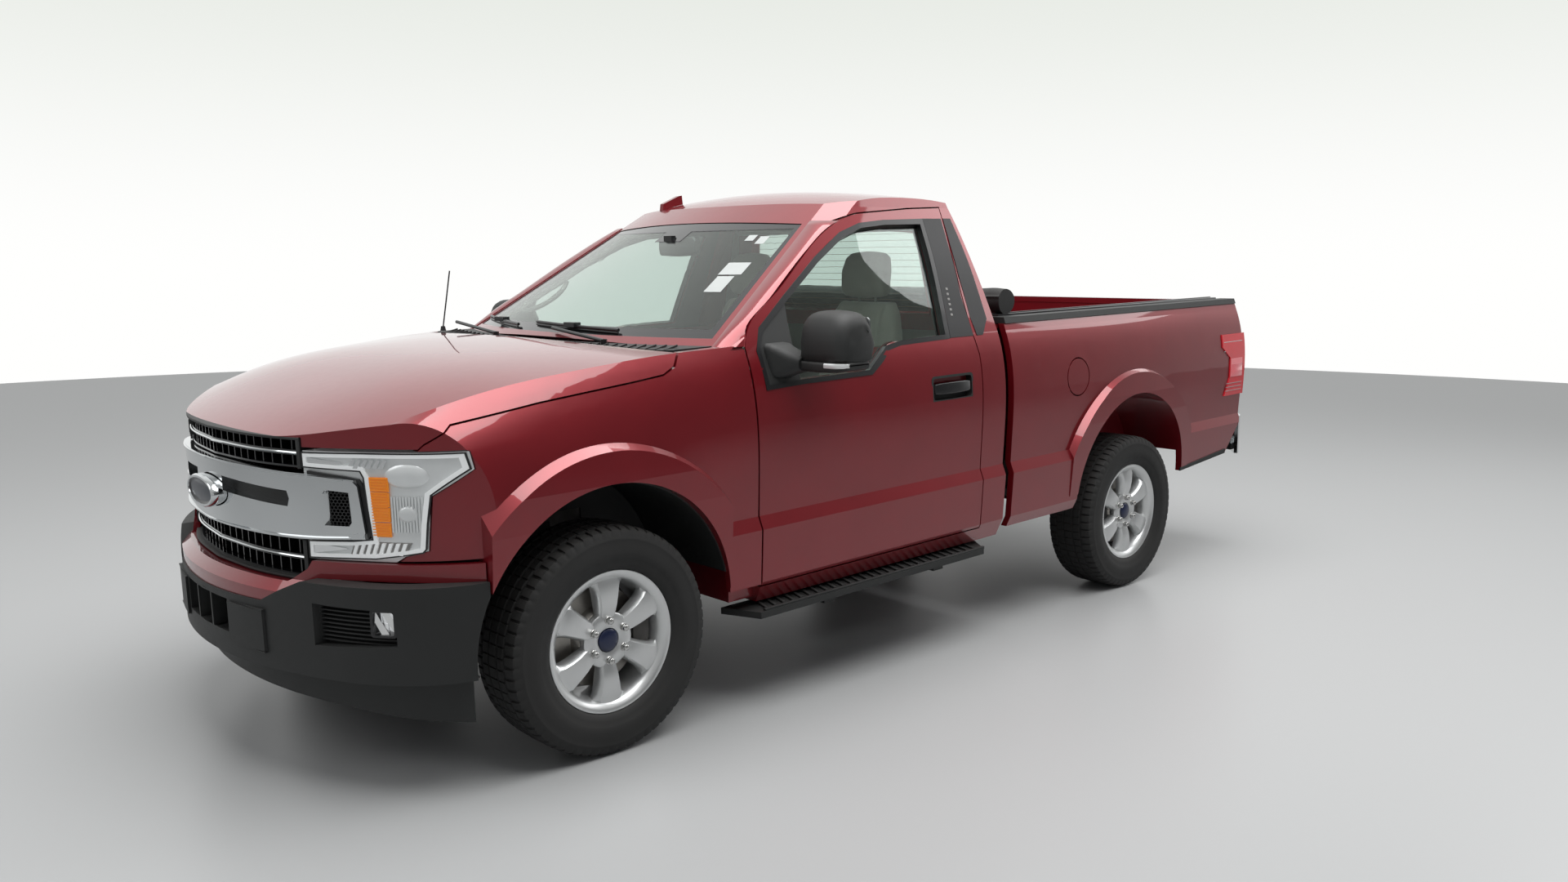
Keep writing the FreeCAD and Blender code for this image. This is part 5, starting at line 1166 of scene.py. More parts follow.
@dataclass
class Headlamps:
    """Both headlamps: black outline, bright border, amber block, fluted lens, facets and fins."""

    bench: Bench
    outline: tuple[Flat, ...] = ((524, 1010), (523, 1057), (700, 1059), (880, 1059), (928, 1060), (936, 1010),
                                 (862, 934), (852, 850), (846, 772), (838, 760), (800, 752), (720, 738),
                                 (526, 733), (526, 788), (660, 793), (712, 800), (704, 890), (698, 984),
                                 (690, 1002))
    amber: Flat = (714.0, 764.0)
    amber_heights: Flat = (806.0, 988.0)
    fins: int = 8
    fin_pitch: float = 18.0

    def build(self) -> None:
        """Makes what shows through each lamp's cover and what frames it."""
        for side, word in ((1.0, "left"), (-1.0, "right")):
            self.bench.piece(self._edge(side), "lamp_edge_" + word, "chassis", "gloss_black")
            self.bench.piece(self._border(side), "lamp_border_" + word, "chassis", "lamp_bright")
            self.bench.piece(self._amber(side), "lamp_amber_" + word, "chassis", "amber_lens")
            self.bench.piece(self._flutes(side), "lamp_flutes_" + word, "chassis", "lamp_white")
            self.bench.piece(self._bulges(side), "lamp_bulges_" + word, "chassis", "lamp_white", smooth=60.0)
            self.bench.piece(self._facets(side), "lamp_facets_" + word, "chassis", "reflector")
            self.bench.piece(self._recess(side), "lamp_recess_" + word, "chassis", "trim_grey")
            self.bench.piece(self._fins(side), "lamp_fins_" + word, "chassis", "lamp_bright")

    def _edge(self, side: float) -> Mesh:
        """Makes the thin black line round the lamp."""
        bm = bmesh.new()
        NOSE.ribbon(bm, side, self.outline, self._inset(4.0), -4, 6)
        return bm

    def _border(self, side: float) -> Mesh:
        """Makes the bright band inside the black line."""
        bm = bmesh.new()
        NOSE.ribbon(bm, side, self._inset(4.0), self._inset(15.0), -2, 5)
        return bm

    def _inset(self, width: float) -> list[Flat]:
        """Moves the lamp's outline inward.

        Args:
            width: how far each edge moves.

        Returns: the smaller outline.
        """
        count = len(self.outline)
        moved = []
        for n, corner in enumerate(self.outline):
            here = Vector(corner)
            before = (here - Vector(self.outline[n - 1])).normalized()
            after = (Vector(self.outline[(n + 1) % count]) - here).normalized()
            inward = Vector((before.y + after.y, -before.x - after.x)).normalized()
            square = max(0.35, inward.dot(Vector((before.y, -before.x))))
            moved.append(tuple(here + inward * width / square))
        return moved

    def _amber(self, side: float) -> Mesh:
        """Makes the amber block beside the bar's end, in cells with fine level ribs."""
        bm = bmesh.new()
        low, high = self.amber
        levels = stepped(*self.amber_heights, 46.0)
        for bottom, top in zip(levels, levels[1:]):
            NOSE.strip(bm, side * low, side * high, bottom + 1.5, top - 1.5, -1, 4.5, 12)
        for z in stepped(812.0, 982.0, 8.5):
            NOSE.strip(bm, side * (low + 3), side * (high - 3), z, z + 3.0, 4, 6.5, 12)
        return bm

    def _flutes(self, side: float) -> Mesh:
        """Makes the upright flutes of the lens outboard of the amber block."""
        bm = bmesh.new()
        for y in stepped(self.amber[1] + 3, 838.0, 7.5):
            NOSE.strip(bm, side * y, side * (y + 4.5), 822, 930, -1, 3.5, 6)
        return bm

    def _bulges(self, side: float) -> Mesh:
        """Makes the soft projector bulge and the bulb behind the flutes."""
        bm = bmesh.new()
        for y, z, wide, tall, high in ((806, 990, 52, 36, 8.0), (806, 876, 24, 26, 7.0)):
            rings = []
            for out, part in ((-1.0, 1.0), (high * 0.45, 0.88), (high * 0.8, 0.62), (high, 0.25)):
                rings.append([NOSE.point(side * (y + wide * part * math.cos(math.tau * n / 32)), out,
                                         z + tall * part * math.sin(math.tau * n / 32)) for n in range(32)])
            loft(bm, rings)
        return bm

    def _facets(self, side: float) -> Mesh:
        """Makes the slanted reflector facets of the upper strip and the wedges at the strips' inner ends."""
        bm = bmesh.new()
        for n in range(6):
            y = 655.0 + n * 17.0
            NOSE.ribbon(bm, side, [(y, 1012), (y + 16, 1038)], [(y + 13, 1012), (y + 24, 1038)], -1,
                        3.5 + n % 2 * 2, False)
        for low, high in ((1010.0, 1040.0), (750.0, 780.0)):
            middle = (low + high) / 2
            NOSE.ribbon(bm, side, [(544, low), (640, middle)], [(544, high), (640, middle + 3)], -1, 4.0,
                        False)
        return bm

    def _fins(self, side: float) -> Mesh:
        """Makes the slanted white fins of the lower strip."""
        bm = bmesh.new()
        for n in range(self.fins):
            y = 655.0 + n * self.fin_pitch
            NOSE.ribbon(bm, side, [(y, 752), (y + 12, 788)], [(y + 9, 752), (y + 21, 788)], -1, 6, False)
        return bm

    def _recess(self, side: float) -> Mesh:
        """Makes the dark ground that shows between the fins."""
        bm = bmesh.new()
        NOSE.ribbon(bm, side, [(648, 750), (662, 790)], [(800, 762), (812, 790)], -1, 1.5, False)
        return bm


@dataclass
class BumperTrim:
    """The small work on the black bumper: fog lamps, ribs, and the openings' rims and bars."""

    bench: Bench
    fog: tuple[Flat, Flat] = ((788.0, 530.0), (842.0, 600.0))
    openings: tuple[int, ...] = (-188, -59, 70)

    def build(self) -> None:
        """Makes the fog lamps with their ribs, the openings' frames and their bars."""
        for side, word in ((1.0, "left"), (-1.0, "right")):
            self.bench.piece(self._fog_frame(side), "fog_frame_" + word, "chassis", "satin_black")
            self.bench.piece(self._ribs(side), "fog_ribs_" + word, "chassis", "moulded_black")
        lenses = self.bench.piece(self._fog_lenses(), "fog_lenses", "chassis", "reflector", smooth=15.0)
        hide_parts("fog_lamps")
        self.bench.piece(self._frames(), "bumper_opening_frames", "chassis", "moulded_black")
        self.bench.piece(self._mesh(), "bumper_opening_mesh", "chassis", "satin_black")

    def _fog_frame(self, side: float) -> Mesh:
        """Makes the dark frame round the fog lamp's lens."""
        bm = bmesh.new()
        low, high = self.fog
        BUMPER.ribbon(bm, side, rounded_ring((low[0] - 7, low[1] - 7), (high[0] + 6, high[1] + 6), 8),
                      rounded_ring(low, high, 6), -40, -8)
        return bm

    def _fog_lenses(self) -> Mesh:
        """Makes both fog lamps' lenses, each with two rows of slanted facets."""
        bm = bmesh.new()
        (y_low, z_low), (y_high, z_high) = self.fog
        columns = stepped(y_low, y_high, 20.0)
        middle = (z_low + z_high) / 2
        for side in (-1.0, 1.0):
            for n, (a, b) in enumerate(zip(columns, columns[1:])):
                for m, (bottom, top) in enumerate(((z_low, middle), (middle, z_high))):
                    rise = 7.0 if (n + m) % 2 else 0.0
                    ends = ((a, -24 + rise, -20 - rise * 0.5), (b, -18 - rise * 0.5, -24 + rise))
                    loft(bm, [[BUMPER.point(side * y, out, z) for out, z in
                               ((-40, bottom), (foot, bottom), (head, top), (-40, top))]
                              for y, foot, head in ends])
        return bm

    def _ribs(self, side: float) -> Mesh:
        """Makes the level ribs across the recess, inboard of the lamp and under it."""
        bm = bmesh.new()
        for z in stepped(496, 600, 13):
            reach = self.fog[0][0] - 10 if z > self.fog[0][1] - 16 else 846
            BUMPER.strip(bm, side * 604, side * reach, z, z + 4, -40, -24, 15)
        return bm

    def _frames(self) -> Mesh:
        """Makes the rims of the three openings in the middle."""
        bm = bmesh.new()
        for y in self.openings:
            for low, high, bottom, top in ((y - 4, y + 122, 449, 455), (y - 4, y + 122, 565, 571),
                                           (y - 4, y, 455, 565), (y + 118, y + 122, 455, 565)):
                BUMPER.strip(bm, low, high, bottom, top, -50, 3, 30)
        for side in (-1.0, 1.0):
            BUMPER.strip(bm, side * 204, side * 400, 428, 431, -4, 10, 30)
            BUMPER.strip(bm, side * 204, side * 400, 563, 566, -4, 10, 30)
        return bm

    def _mesh(self) -> Mesh:
        """Makes the bars that cross the openings."""
        bm = bmesh.new()
        for y in self.openings:
            for z in stepped(474, 546, 18):
                BUMPER.strip(bm, y, y + 118, z - 2, z + 2, -54, -40, 30)
            for across in stepped(y + 16, y + 102, 20):
                BUMPER.strip(bm, across - 2, across + 2, 455, 565, -58, -44, 30)
        return bm


# The sides of the cab
@dataclass
class DoorDress:
    """What a door carries: window trim, sail, pillar cover, mirror, handle and inner panel."""

    bench: Bench
    word: str
    side: float
    surround: tuple[tuple[Flat, Flat], ...] = (
        ((-28, 1255), (-4, 1273)), ((275, 1247), (270, 1266)), ((345, 1234), (356, 1253)),
        ((399, 1193), (424, 1208)), ((473, 1149), (486, 1167)), ((839, 1145), (839, 1162)),
        ((1020, 1138), (1004, 1155)), ((1030, 1276), (1010, 1278)), ((993, 1355), (974, 1343)),
        ((830, 1464), (817, 1446)), ((614, 1598), (603, 1578)), ((431, 1691), (421, 1671)),
        ((300, 1728), (297, 1708)), ((150, 1741), (150, 1721)), ((-100, 1747), (-72, 1724)))
    pillar_front: tuple[Flat, ...] = ((-30, 1258), (-53, 1420), (-85, 1640), (-100, 1747))
    pillar_rear: tuple[Flat, ...] = ((-181, 1258), (-173, 1420), (-202, 1640), (-220, 1747))

    def build(self) -> None:
        """Makes everything on this door."""
        body, word = "door_" + self.word, self.word
        self.bench.piece(self._surround(), "window_surround_" + word, body, "satin_black")
        self.bench.piece(self._lining(), "window_lining_" + word, body, "dash_moulding")
        self.bench.piece(self._pillar(), "pillar_cover_" + word, body, "pillar_black")
        self.bench.piece(self._vents(), "pillar_vents_" + word, body, "trim_grey")
        sail = self.bench.piece(self._sail(), "sail_plate_" + word, body, "moulded_black")
        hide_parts("door_" + word + "_fittings")
        self.bench.piece(self._mirror_arm(), "mirror_arm_" + word, body, "moulded_black")
        self.bench.piece(self._mirror_shell(), "mirror_shell_" + word, body, "moulded_black")
        self.bench.piece(self._mirror_skirt(), "mirror_skirt_" + word, body, "moulded_black")
        self.bench.piece(self._mirror_glass(), "mirror_glass_" + word, body, "mirror_glass")
        self.bench.piece(self._signal(), "mirror_signal_" + word, body, "lamp_white")
        self.bench.piece(self._handle_cup(), "handle_cup_" + word, body, "moulded_black")
        self.bench.piece(self._handle_grip(), "handle_grip_" + word, body, "satin_black")
        self.bench.piece(self._inner_panel(), "door_panel_" + word, body, "dash_moulding")
        self.bench.piece(self._armrest(), "armrest_" + word, body, "trim_grey")

    def _side(self, bm: Mesh) -> Mesh:
        """Turns a left-hand mesh into this door's side."""
        if self.side < 0:
            bmesh.ops.scale(bm, vec=(1.0, -1.0, 1.0), verts=bm.verts)
            bmesh.ops.reverse_faces(bm, faces=bm.faces)
        return bm

    def _surround(self) -> Mesh:
        """Makes the black band round the window."""
        bm = bmesh.new()
        SIDE.ribbon(bm, [a for a, _ in self.surround], [b for _, b in self.surround], -30, 2.5)
        return self._side(bm)

    def _lining(self) -> Mesh:
        """Makes the inner face of the window frame."""
        bm = bmesh.new()
        outer = [(-160, 1240), (275, 1232), (345, 1216), (399, 1176), (473, 1132), (839, 1128), (1022, 1124),
                 (1022, 1280), (986, 1358), (830, 1466), (612, 1602), (430, 1694), (300, 1732), (150, 1746),
                 (-150, 1748)]
        inner = [b for _, b in self.surround]
        SIDE.ribbon(bm, outer, inner, -52, -45)
        return self._side(bm)

    def _pillar(self) -> Mesh:
        """Makes the dark cover on the door's rear pillar."""
        bm = bmesh.new()
        SIDE.ribbon(bm, self.pillar_front, self.pillar_rear, -2, 3.0, joined_up=False)
        return self._side(bm)

    def _vents(self) -> Mesh:
        """Makes the small slats low on the pillar cover."""
        bm = bmesh.new()
        for z in stepped(1345, 1450, 21):
            x = -72 - (z - 1345) * 0.15
            SIDE.ribbon(bm, [(x, z), (x, z + 9)], [(x - 13, z), (x - 13, z + 9)], 1.0, 4.2, joined_up=False)
        return self._side(bm)

    def _sail(self) -> Mesh:
        """Makes the plate in the window's front corner."""
        bm = bmesh.new()
        SIDE.ribbon(bm, [(848, 1148), (848, 1290), (842, 1370), (828, 1452)],
                    [(1014, 1148), (1020, 1278), (984, 1348), (842, 1450)], -30, -3, joined_up=False)
        return self._side(bm)

    def _mirror_arm(self) -> Mesh:
        """Makes the arm from the sail plate to the mirror."""
        bm = bmesh.new()
        levels = [(912, (868, 1168), (992, 1300), 22), (940, (868, 1170), (986, 1298), 22),
                  (962, (862, 1178), (972, 1284), 24), (990, (836, 1190), (940, 1262), 26),
                  (1016, (800, 1202), (910, 1248), 20)]
        loft(bm, [[(x, y, z) for x, z in rounded_ring(low, high, radius)] for y, low, high, radius in levels])
        return self._side(bm)

    def _mirror_shell(self) -> Mesh:
        """Makes the domed housing, its outer top corner cut away."""
        bm = bmesh.new()
        levels = [(1000, 778, 872, 1248, 1380), (1006, 762, 888, 1242, 1396), (1022, 752, 899, 1240, 1406),
                  (1060, 748, 905, 1239, 1411), (1140, 748, 904, 1239, 1411), (1180, 749, 900, 1239, 1405),
                  (1204, 750, 890, 1239, 1388), (1218, 752, 876, 1240, 1362), (1226, 756, 850, 1242, 1330)]
        rings = []
        for y, x_rear, x_front, z_low, z_high in levels:
            ring = [(x_rear, y, z_low), (x_front - 8, y, z_low), (x_front, y, z_low + 30),
                    (x_front - 4, y, z_low + (z_high - z_low) * 0.55), (x_front - 22, y, z_high - 28),
                    (x_front - 52, y, z_high - 6), (x_front - 90, y, z_high), (x_rear + 14, y, z_high - 4),
                    (x_rear, y, z_high - 16)]
            rings.append(ring)
        loft(bm, rings)
        bmesh.ops.subdivide_edges(bm, edges=bm.edges[:], cuts=1, use_grid_fill=True, smooth=0.6)
        return self._side(bm)

    def _mirror_skirt(self) -> Mesh:
        """Makes the lower part of the mirror, under its seam."""
        bm = bmesh.new()
        loft_across(bm, [(1004, 776, 880, 1206, 1237), (1016, 758, 900, 1200, 1238),
                         (1100, 752, 908, 1200, 1238), (1190, 754, 902, 1204, 1238),
                         (1222, 762, 880, 1212, 1238), (1228, 772, 862, 1220, 1236)], 10)
        return self._side(bm)

    def _mirror_glass(self) -> Mesh:
        """Makes the glass in the mirror's rear face."""
        bm = bmesh.new()
        ring = rounded_ring((1016, 1252), (1212, 1390), 18)
        slab(bm, [(745.5, y, z) for y, z in ring], (6.0, 0.0, 0.0))
        return self._side(bm)

    def _signal(self) -> Mesh:
        """Makes the white strip at the skirt's outer end."""
        bm = bmesh.new()
        loft_across(bm, [(1142, 896, 911, 1218, 1236), (1190, 890, 907, 1218, 1236),
                         (1216, 872, 892, 1219, 1235), (1226, 858, 876, 1221, 1234)], 4, 2)
        return self._side(bm)

    def _handle_cup(self) -> Mesh:
        """Makes the recess round the handle: a rim and a floor."""
        bm = bmesh.new()
        outer = rounded_ring((-133, 1004), (133, 1112), 18)
        inner = rounded_ring((-122, 1014), (122, 1102), 14)
        SIDE.ribbon(bm, outer, inner, -32, 1.5)
        slab(bm, [SIDE.point(x, z, -32) for x, z in rounded_ring((-126, 1010), (126, 1106), 14)], (0, 3, 0))
        return self._side(bm)

    def _handle_grip(self) -> Mesh:
        """Makes the pull bar across the recess."""
        bm = bmesh.new()
        levels = [(-119, 1046, 1072, -22, -14), (-110, 1040, 1078, -20, 2), (-84, 1037, 1081, -12, 9),
                  (-30, 1036, 1082, -6, 12), (30, 1036, 1082, -6, 12), (84, 1037, 1081, -12, 9),
                  (110, 1040, 1078, -20, 2), (119, 1046, 1072, -22, -14)]
        rings = []
        for x, z_low, z_high, out_low, out_high in levels:
            section = rounded_ring((out_low, z_low), (out_high, z_high), 3.8, 3)
            rings.append([SIDE.point(x, z, out) for out, z in section])
        loft(bm, rings)
        return self._side(bm)

    def _inner_panel(self) -> Mesh:
        """Makes the trim panel on the inside of the door."""
        bm = bmesh.new()
        outline = [(-172, 470), (930, 470), (960, 700), (968, 1126), (470, 1134), (300, 1222), (-172, 1232)]
        slab(bm, [(x, 834.5, z) for x, z in outline], (0, -12, 0))
        slab(bm, [(x, 823, z) for x, z in [(-120, 520), (860, 520), (900, 760), (-120, 760)]], (0, -10, 0))
        round_edges(bm, 5.0, 3)
        return self._side(bm)

    def _armrest(self) -> Mesh:
        """Makes the padded armrest and the pull handle."""
        bm = bmesh.new()
        levels = [(-110, 786, 824, 842, 872), (-60, 770, 824, 836, 880), (200, 762, 824, 836, 884),
                  (420, 766, 824, 850, 900), (520, 790, 824, 880, 930)]
        loft(bm, [[(x, y, z) for y, z in rounded_ring((inner, low), (outer, high), 10)]
                  for x, inner, outer, low, high in levels])
        slab(bm, [(x, 822, z) for x, z in [(-160, 930), (940, 930), (950, 1010), (-160, 1030)]], (0, -9, 0))
        return self._side(bm)


@dataclass
class CabDress:
    """What the cab itself carries outside and inside."""

    bench: Bench
    slats: int = 34
    seam: float = 8.0
    skin_heights: Flat = (1294.0, 1738.0)
    skin_step: float = 18.0
    skin_bulge: Flat = (18.0, 16.0)
    skin_depth: float = 18.0
    wheel_centre: Point = (716.0, 395.0, 1096.0)
    column: Point = (-184.0, 0.0, 86.0)
    door_edge: SmoothLine = field(default_factory=lambda: SmoothLine(
        (1290, 1060), (1345, 1049), (1459, 886), (1625, 632), (1722, 447), (1765, 290)))

    def build(self) -> None:
        """Makes the screen's border, wipers, cowl slats, linings, mirror and labels."""
        piece = self.bench.piece
        piece(self._pillar_skin(), "screen_pillar_skins", "chassis", "ruby_paint", smooth=50.0)
        piece(self._frit(), "screen_border", "chassis", "gloss_black")
        piece(self._labels(), "blank_labels", "chassis", "blank_label")
        piece(self._quarter_trim(), "quarter_trim", "chassis", "pillar_black")
        piece(self._cowl_slats(), "cowl_slats", "chassis", "moulded_black")
        piece(self._blades(), "wiper_blades", "chassis", "satin_black")
        piece(self._headliner(), "headliner", "chassis", "headliner", smooth=60.0)
        piece(self._pillar_lining(), "pillar_linings", "chassis", "headliner")
        piece(self._rear_lining(), "rear_wall_lining", "chassis", "trim_grey")
        piece(self._heater(), "rear_heater_lines", "chassis", "heater_line")
        piece(self._mirror(), "inside_mirror", "chassis", "satin_black")
        piece(self._visors(), "sun_visors", "chassis", "headliner")
        piece(self._grab_handles(), "grab_handles", "chassis", "trim_grey")
        piece(self._dash(), "dash_details", "chassis", "dash_moulding")
        piece(self._vents(), "dash_vents", "chassis", "gloss_black")
        piece(self._carpet(), "floor_carpet", "chassis", "carpet")
        piece(self._airbag_pad(), "steering_wheel_pad", "steering_wheel", "dash_moulding")

    def _pillar_skin(self) -> Mesh:
        """Makes the rounded painted skin of the screen pillars, from the glass to the doors' seams."""
        bm = bmesh.new()
        rings = []
        for z in stepped(*self.skin_heights, self.skin_step):
            front = Vector(SCREEN.point(1.0, z, 3.0))
            rear = Vector((self.door_edge.at(z) + self.seam, SIDE.half(z) - 1.0, z))
            bulge = Vector((front.x + self.skin_bulge[0], rear.y - self.skin_bulge[1], z))
            ring = [tuple(front.lerp(bulge, t).lerp(bulge.lerp(rear, t), t))
                    for t in stepped(0.0, 1.0, 0.125)]
            rings.append(ring + [(rear.x, rear.y - self.skin_depth, z), (front.x - 12.0, front.y - 2.0, z)])
        loft(bm, rings)
        mirror_over_middle(bm)
        return bm

    def _frit(self) -> Mesh:
        """Makes the dark printed border of the windscreen."""
        bm = bmesh.new()
        SCREEN.patch(bm, (-0.995, 0.995), (1306, 1352), -3.0, -2.3, 24)
        SCREEN.patch(bm, (-0.985, 0.985), (1712, 1750), -3.0, -2.3, 24)
        for side in (-1.0, 1.0):
            SCREEN.patch(bm, (side * 0.93, side * 0.997), (1352, 1712), -3.0, -2.3, 2)
        SCREEN.patch(bm, (-0.13, 0.13), (1672, 1712), -3.0, -2.3, 4)
        return bm

    def _labels(self) -> Mesh:
        """Makes the blank labels inside the windscreen's left edge."""
        bm = bmesh.new()
        for across, z in (((0.70, 0.84), (1540, 1584)), ((0.71, 0.81), (1478, 1534)),
                          ((0.66, 0.72), (1668, 1690)), ((0.75, 0.81), (1655, 1684))):
            SCREEN.patch(bm, across, z, -3.0, -2.4, 2)
        return bm

    def _quarter_trim(self) -> Mesh:
        """Makes the dark covers behind the doors' windows."""
        bm = bmesh.new()
        SIDE.ribbon(bm, [(-206, 1258), (-194, 1330), (-200, 1500), (-216, 1640), (-234, 1748)],
                    [(-246, 1258), (-300, 1322), (-296, 1500), (-290, 1640), (-283, 1748)], -2, 3.0,
                    joined_up=False)
        mirror_over_middle(bm)
        return bm

    def _cowl_slats(self) -> Mesh:
        """Makes the slanted slats of the air intake in front of the screen."""
        bm = bmesh.new()
        for n in range(self.slats):
            y = -790 + 1580 * n / (self.slats - 1)
            front = 1428 - (abs(y) / 852) ** 2 * 96
            rear = front - 66
            lean = 16
            top = 1292 - max(0.0, front - 1330) * 0.1
            slab(bm, [(rear, y, top + 12), (rear, y + 8, top + 12), (front, y + 8 + lean, top),
                      (front, y + lean, top)], (0.0, 0.0, 7.0))
        return bm

    def _blades(self) -> Mesh:
        """Makes both wiper blades and the joints that hold them."""
        bm = bmesh.new()
        for start, end in ((0.46, -0.22), (-0.38, -0.93)):
            for z, out, radius, sides in ((1334, 9, 6.5, 2), (1330, 2, 4.0, 1)):
                tube(bm, [SCREEN.point(start + (end - start) * t, z + 14 * t, out)
                          for t in stepped(0.0, 1.0, 0.1)], radius, sides)
            x, y, z = SCREEN.point((start + end) / 2, 1342, 14)
            block(bm, (x - 16, y - 36, z - 9), (x + 16, y + 36, z + 9))
        return bm

    def _headliner(self) -> Mesh:
        """Makes the light cloth under the roof."""
        bm = bmesh.new()
        roof = SmoothLine((-300, 1806), (-150, 1826), (0, 1832), (150, 1826), (300, 1806), (430, 1772),
                          (540, 1722))
        rings = []
        for x in stepped(-286, 500, 40):
            ring = [(x, y, roof.at(x) - 46 * (y / 650) ** 2) for y in stepped(-650, 650, 65)]
            rings.append(ring + [(x, y, z + 5) for x, y, z in reversed(ring)])
        loft(bm, rings)
        return bm

    def _pillar_lining(self) -> Mesh:
        """Makes the light covers inside the windscreen pillars."""
        bm = bmesh.new()
        rings = []
        for t in stepped(0.0, 1.0, 0.1):
            x, y, z = SCREEN.point(0.985, 1300 + 440 * t, -26)
            rings.append([(x - 10, y - 10, z), (x - 10, y - 34, z), (x - 38, y - 38, z), (x - 64, y - 12, z),
                          (x - 54, y + 6, z)])
        loft(bm, rings)
        mirror_over_middle(bm)
        return bm

    def _rear_lining(self) -> Mesh:
        """Makes the grey lining on the cab's rear wall, round its window."""
        bm = bmesh.new()
        slab(bm, [(-292, y, z) for y, z in [(-828, 500), (828, 500), (828, 1262), (-828, 1262)]], (8, 0, 0))
        for side in (-1.0, 1.0):
            outline = [(-290, 1262, 826), (-290, 1262, 722), (-252, 1700, 640), (-250, 1760, 660)]
            slab(bm, [(x, side * y, z) for x, z, y in outline], (8, 0, 0))
        slab(bm, [(-254, y, z) for y, z in [(-640, 1700), (640, 1700), (640, 1778), (-640, 1778)]], (8, 0, 0))
        return bm

    def _heater(self) -> Mesh:
        """Makes the fine heating lines across the rear window."""
        bm = bmesh.new()
        for z in stepped(1300, 1690, 30):
            x = -338 + (z - 1268) * 44 / 450 + 0.5
            half = 690 - (z - 1268) * 0.14
            block(bm, (x, -half, z), (x + 0.8, half, z + 1.6))
        return bm

    def _mirror(self) -> Mesh:
        """Makes the mirror behind the windscreen, on its stalk."""
        bm = bmesh.new()
        loft_across(bm, [(-124, 622, 650, 1622, 1672), (-112, 614, 656, 1608, 1686),
                         (0, 610, 660, 1604, 1690), (112, 614, 656, 1608, 1686),
                         (124, 622, 650, 1622, 1672)], 12)
        tube(bm, [(650, 0, 1655), (676, 0, 1672), (690, 0, 1680)], 9, 3)
        block(bm, (676, -26, 1660), (700, 26, 1694))
        return bm

    def _visors(self) -> Mesh:
        """Makes both sun visors, folded up against the headliner."""
        bm = bmesh.new()
        for low, high in ((130, 560), (-560, -130)):
            rings = []
            for y in stepped(low, high, 60):
                rings.append([(x, y, z - 34 * (y / 650) ** 2) for x, z in
                              [(520, 1708), (402, 1762), (398, 1774), (524, 1720)]])
            loft(bm, rings)
        round_edges(bm, 4.0, 2)
        return bm

    def _grab_handles(self) -> Mesh:
        """Makes the grab handles on the inside of both screen pillars."""
        bm = bmesh.new()
        for side in (-1.0, 1.0):
            ends = [SCREEN.point(side * 0.93, z, -60) for z in (1420, 1545)]
            mid = [SCREEN.point(side * 0.86, z, -78) for z in (1442, 1523)]
            tube(bm, [ends[0], mid[0], mid[1], ends[1]], 11, 3)
        return bm

    def _dash(self) -> Mesh:
        """Makes the instrument hood and the centre stack."""
        bm = bmesh.new()
        loft_across(bm, [(215, 770, 930, 1176, 1196), (245, 752, 960, 1172, 1236),
                         (395, 742, 975, 1170, 1252), (545, 752, 960, 1172, 1236),
                         (575, 770, 930, 1176, 1196)], 9)
        loft_across(bm, [(-190, 760, 820, 800, 1180), (-170, 738, 830, 780, 1200),
                         (170, 738, 830, 780, 1200), (190, 760, 820, 800, 1180)], 14)
        return bm

    def _vents(self) -> Mesh:
        """Makes the air vents and the blank screen."""
        bm = bmesh.new()
        for y in (-730, -300, 210, 720):
            for z in stepped(1088, 1142, 13.5):
                block(bm, (752, y - 46, z), (764, y + 46, z + 5))
        block(bm, (734, -105, 1040), (742, 105, 1160))
        round_edges(bm, 1.5, 1)
        return bm

    def _carpet(self) -> Mesh:
        """Makes the carpet on the floor and over the tunnel."""
        bm = bmesh.new()
        outline = [(-820, 497), (-170, 497), (-150, 640), (150, 640), (170, 497), (820, 497)]
        rings = []
        for x in stepped(500, 1060, 80):
            top = [(x, y, z + 2) for y, z in outline]
            rings.append(top + [(x, y, z - 4) for x, y, z in reversed(top)])
        loft(bm, rings)
        return bm

    def _airbag_pad(self) -> Mesh:
        """Makes the padded middle of the steering wheel."""
        bm = bmesh.new()
        unit = Vector(self.column).normalized()
        middle = Vector(self.wheel_centre) + unit * 34
        across = Vector((0.0, 1.0, 0.0))
        up = unit.cross(across)
        rings = []
        for depth, size in ((-12, 0.9), (4, 1.0), (16, 0.92), (24, 0.7), (27, 0.3)):
            ring = rounded_ring((-88 * size, -62 * size), (88 * size, 62 * size), 30 * size, 5)
            rings.append([tuple(middle + unit * depth + across * a + up * b) for a, b in ring])
        loft(bm, rings)
        return bm


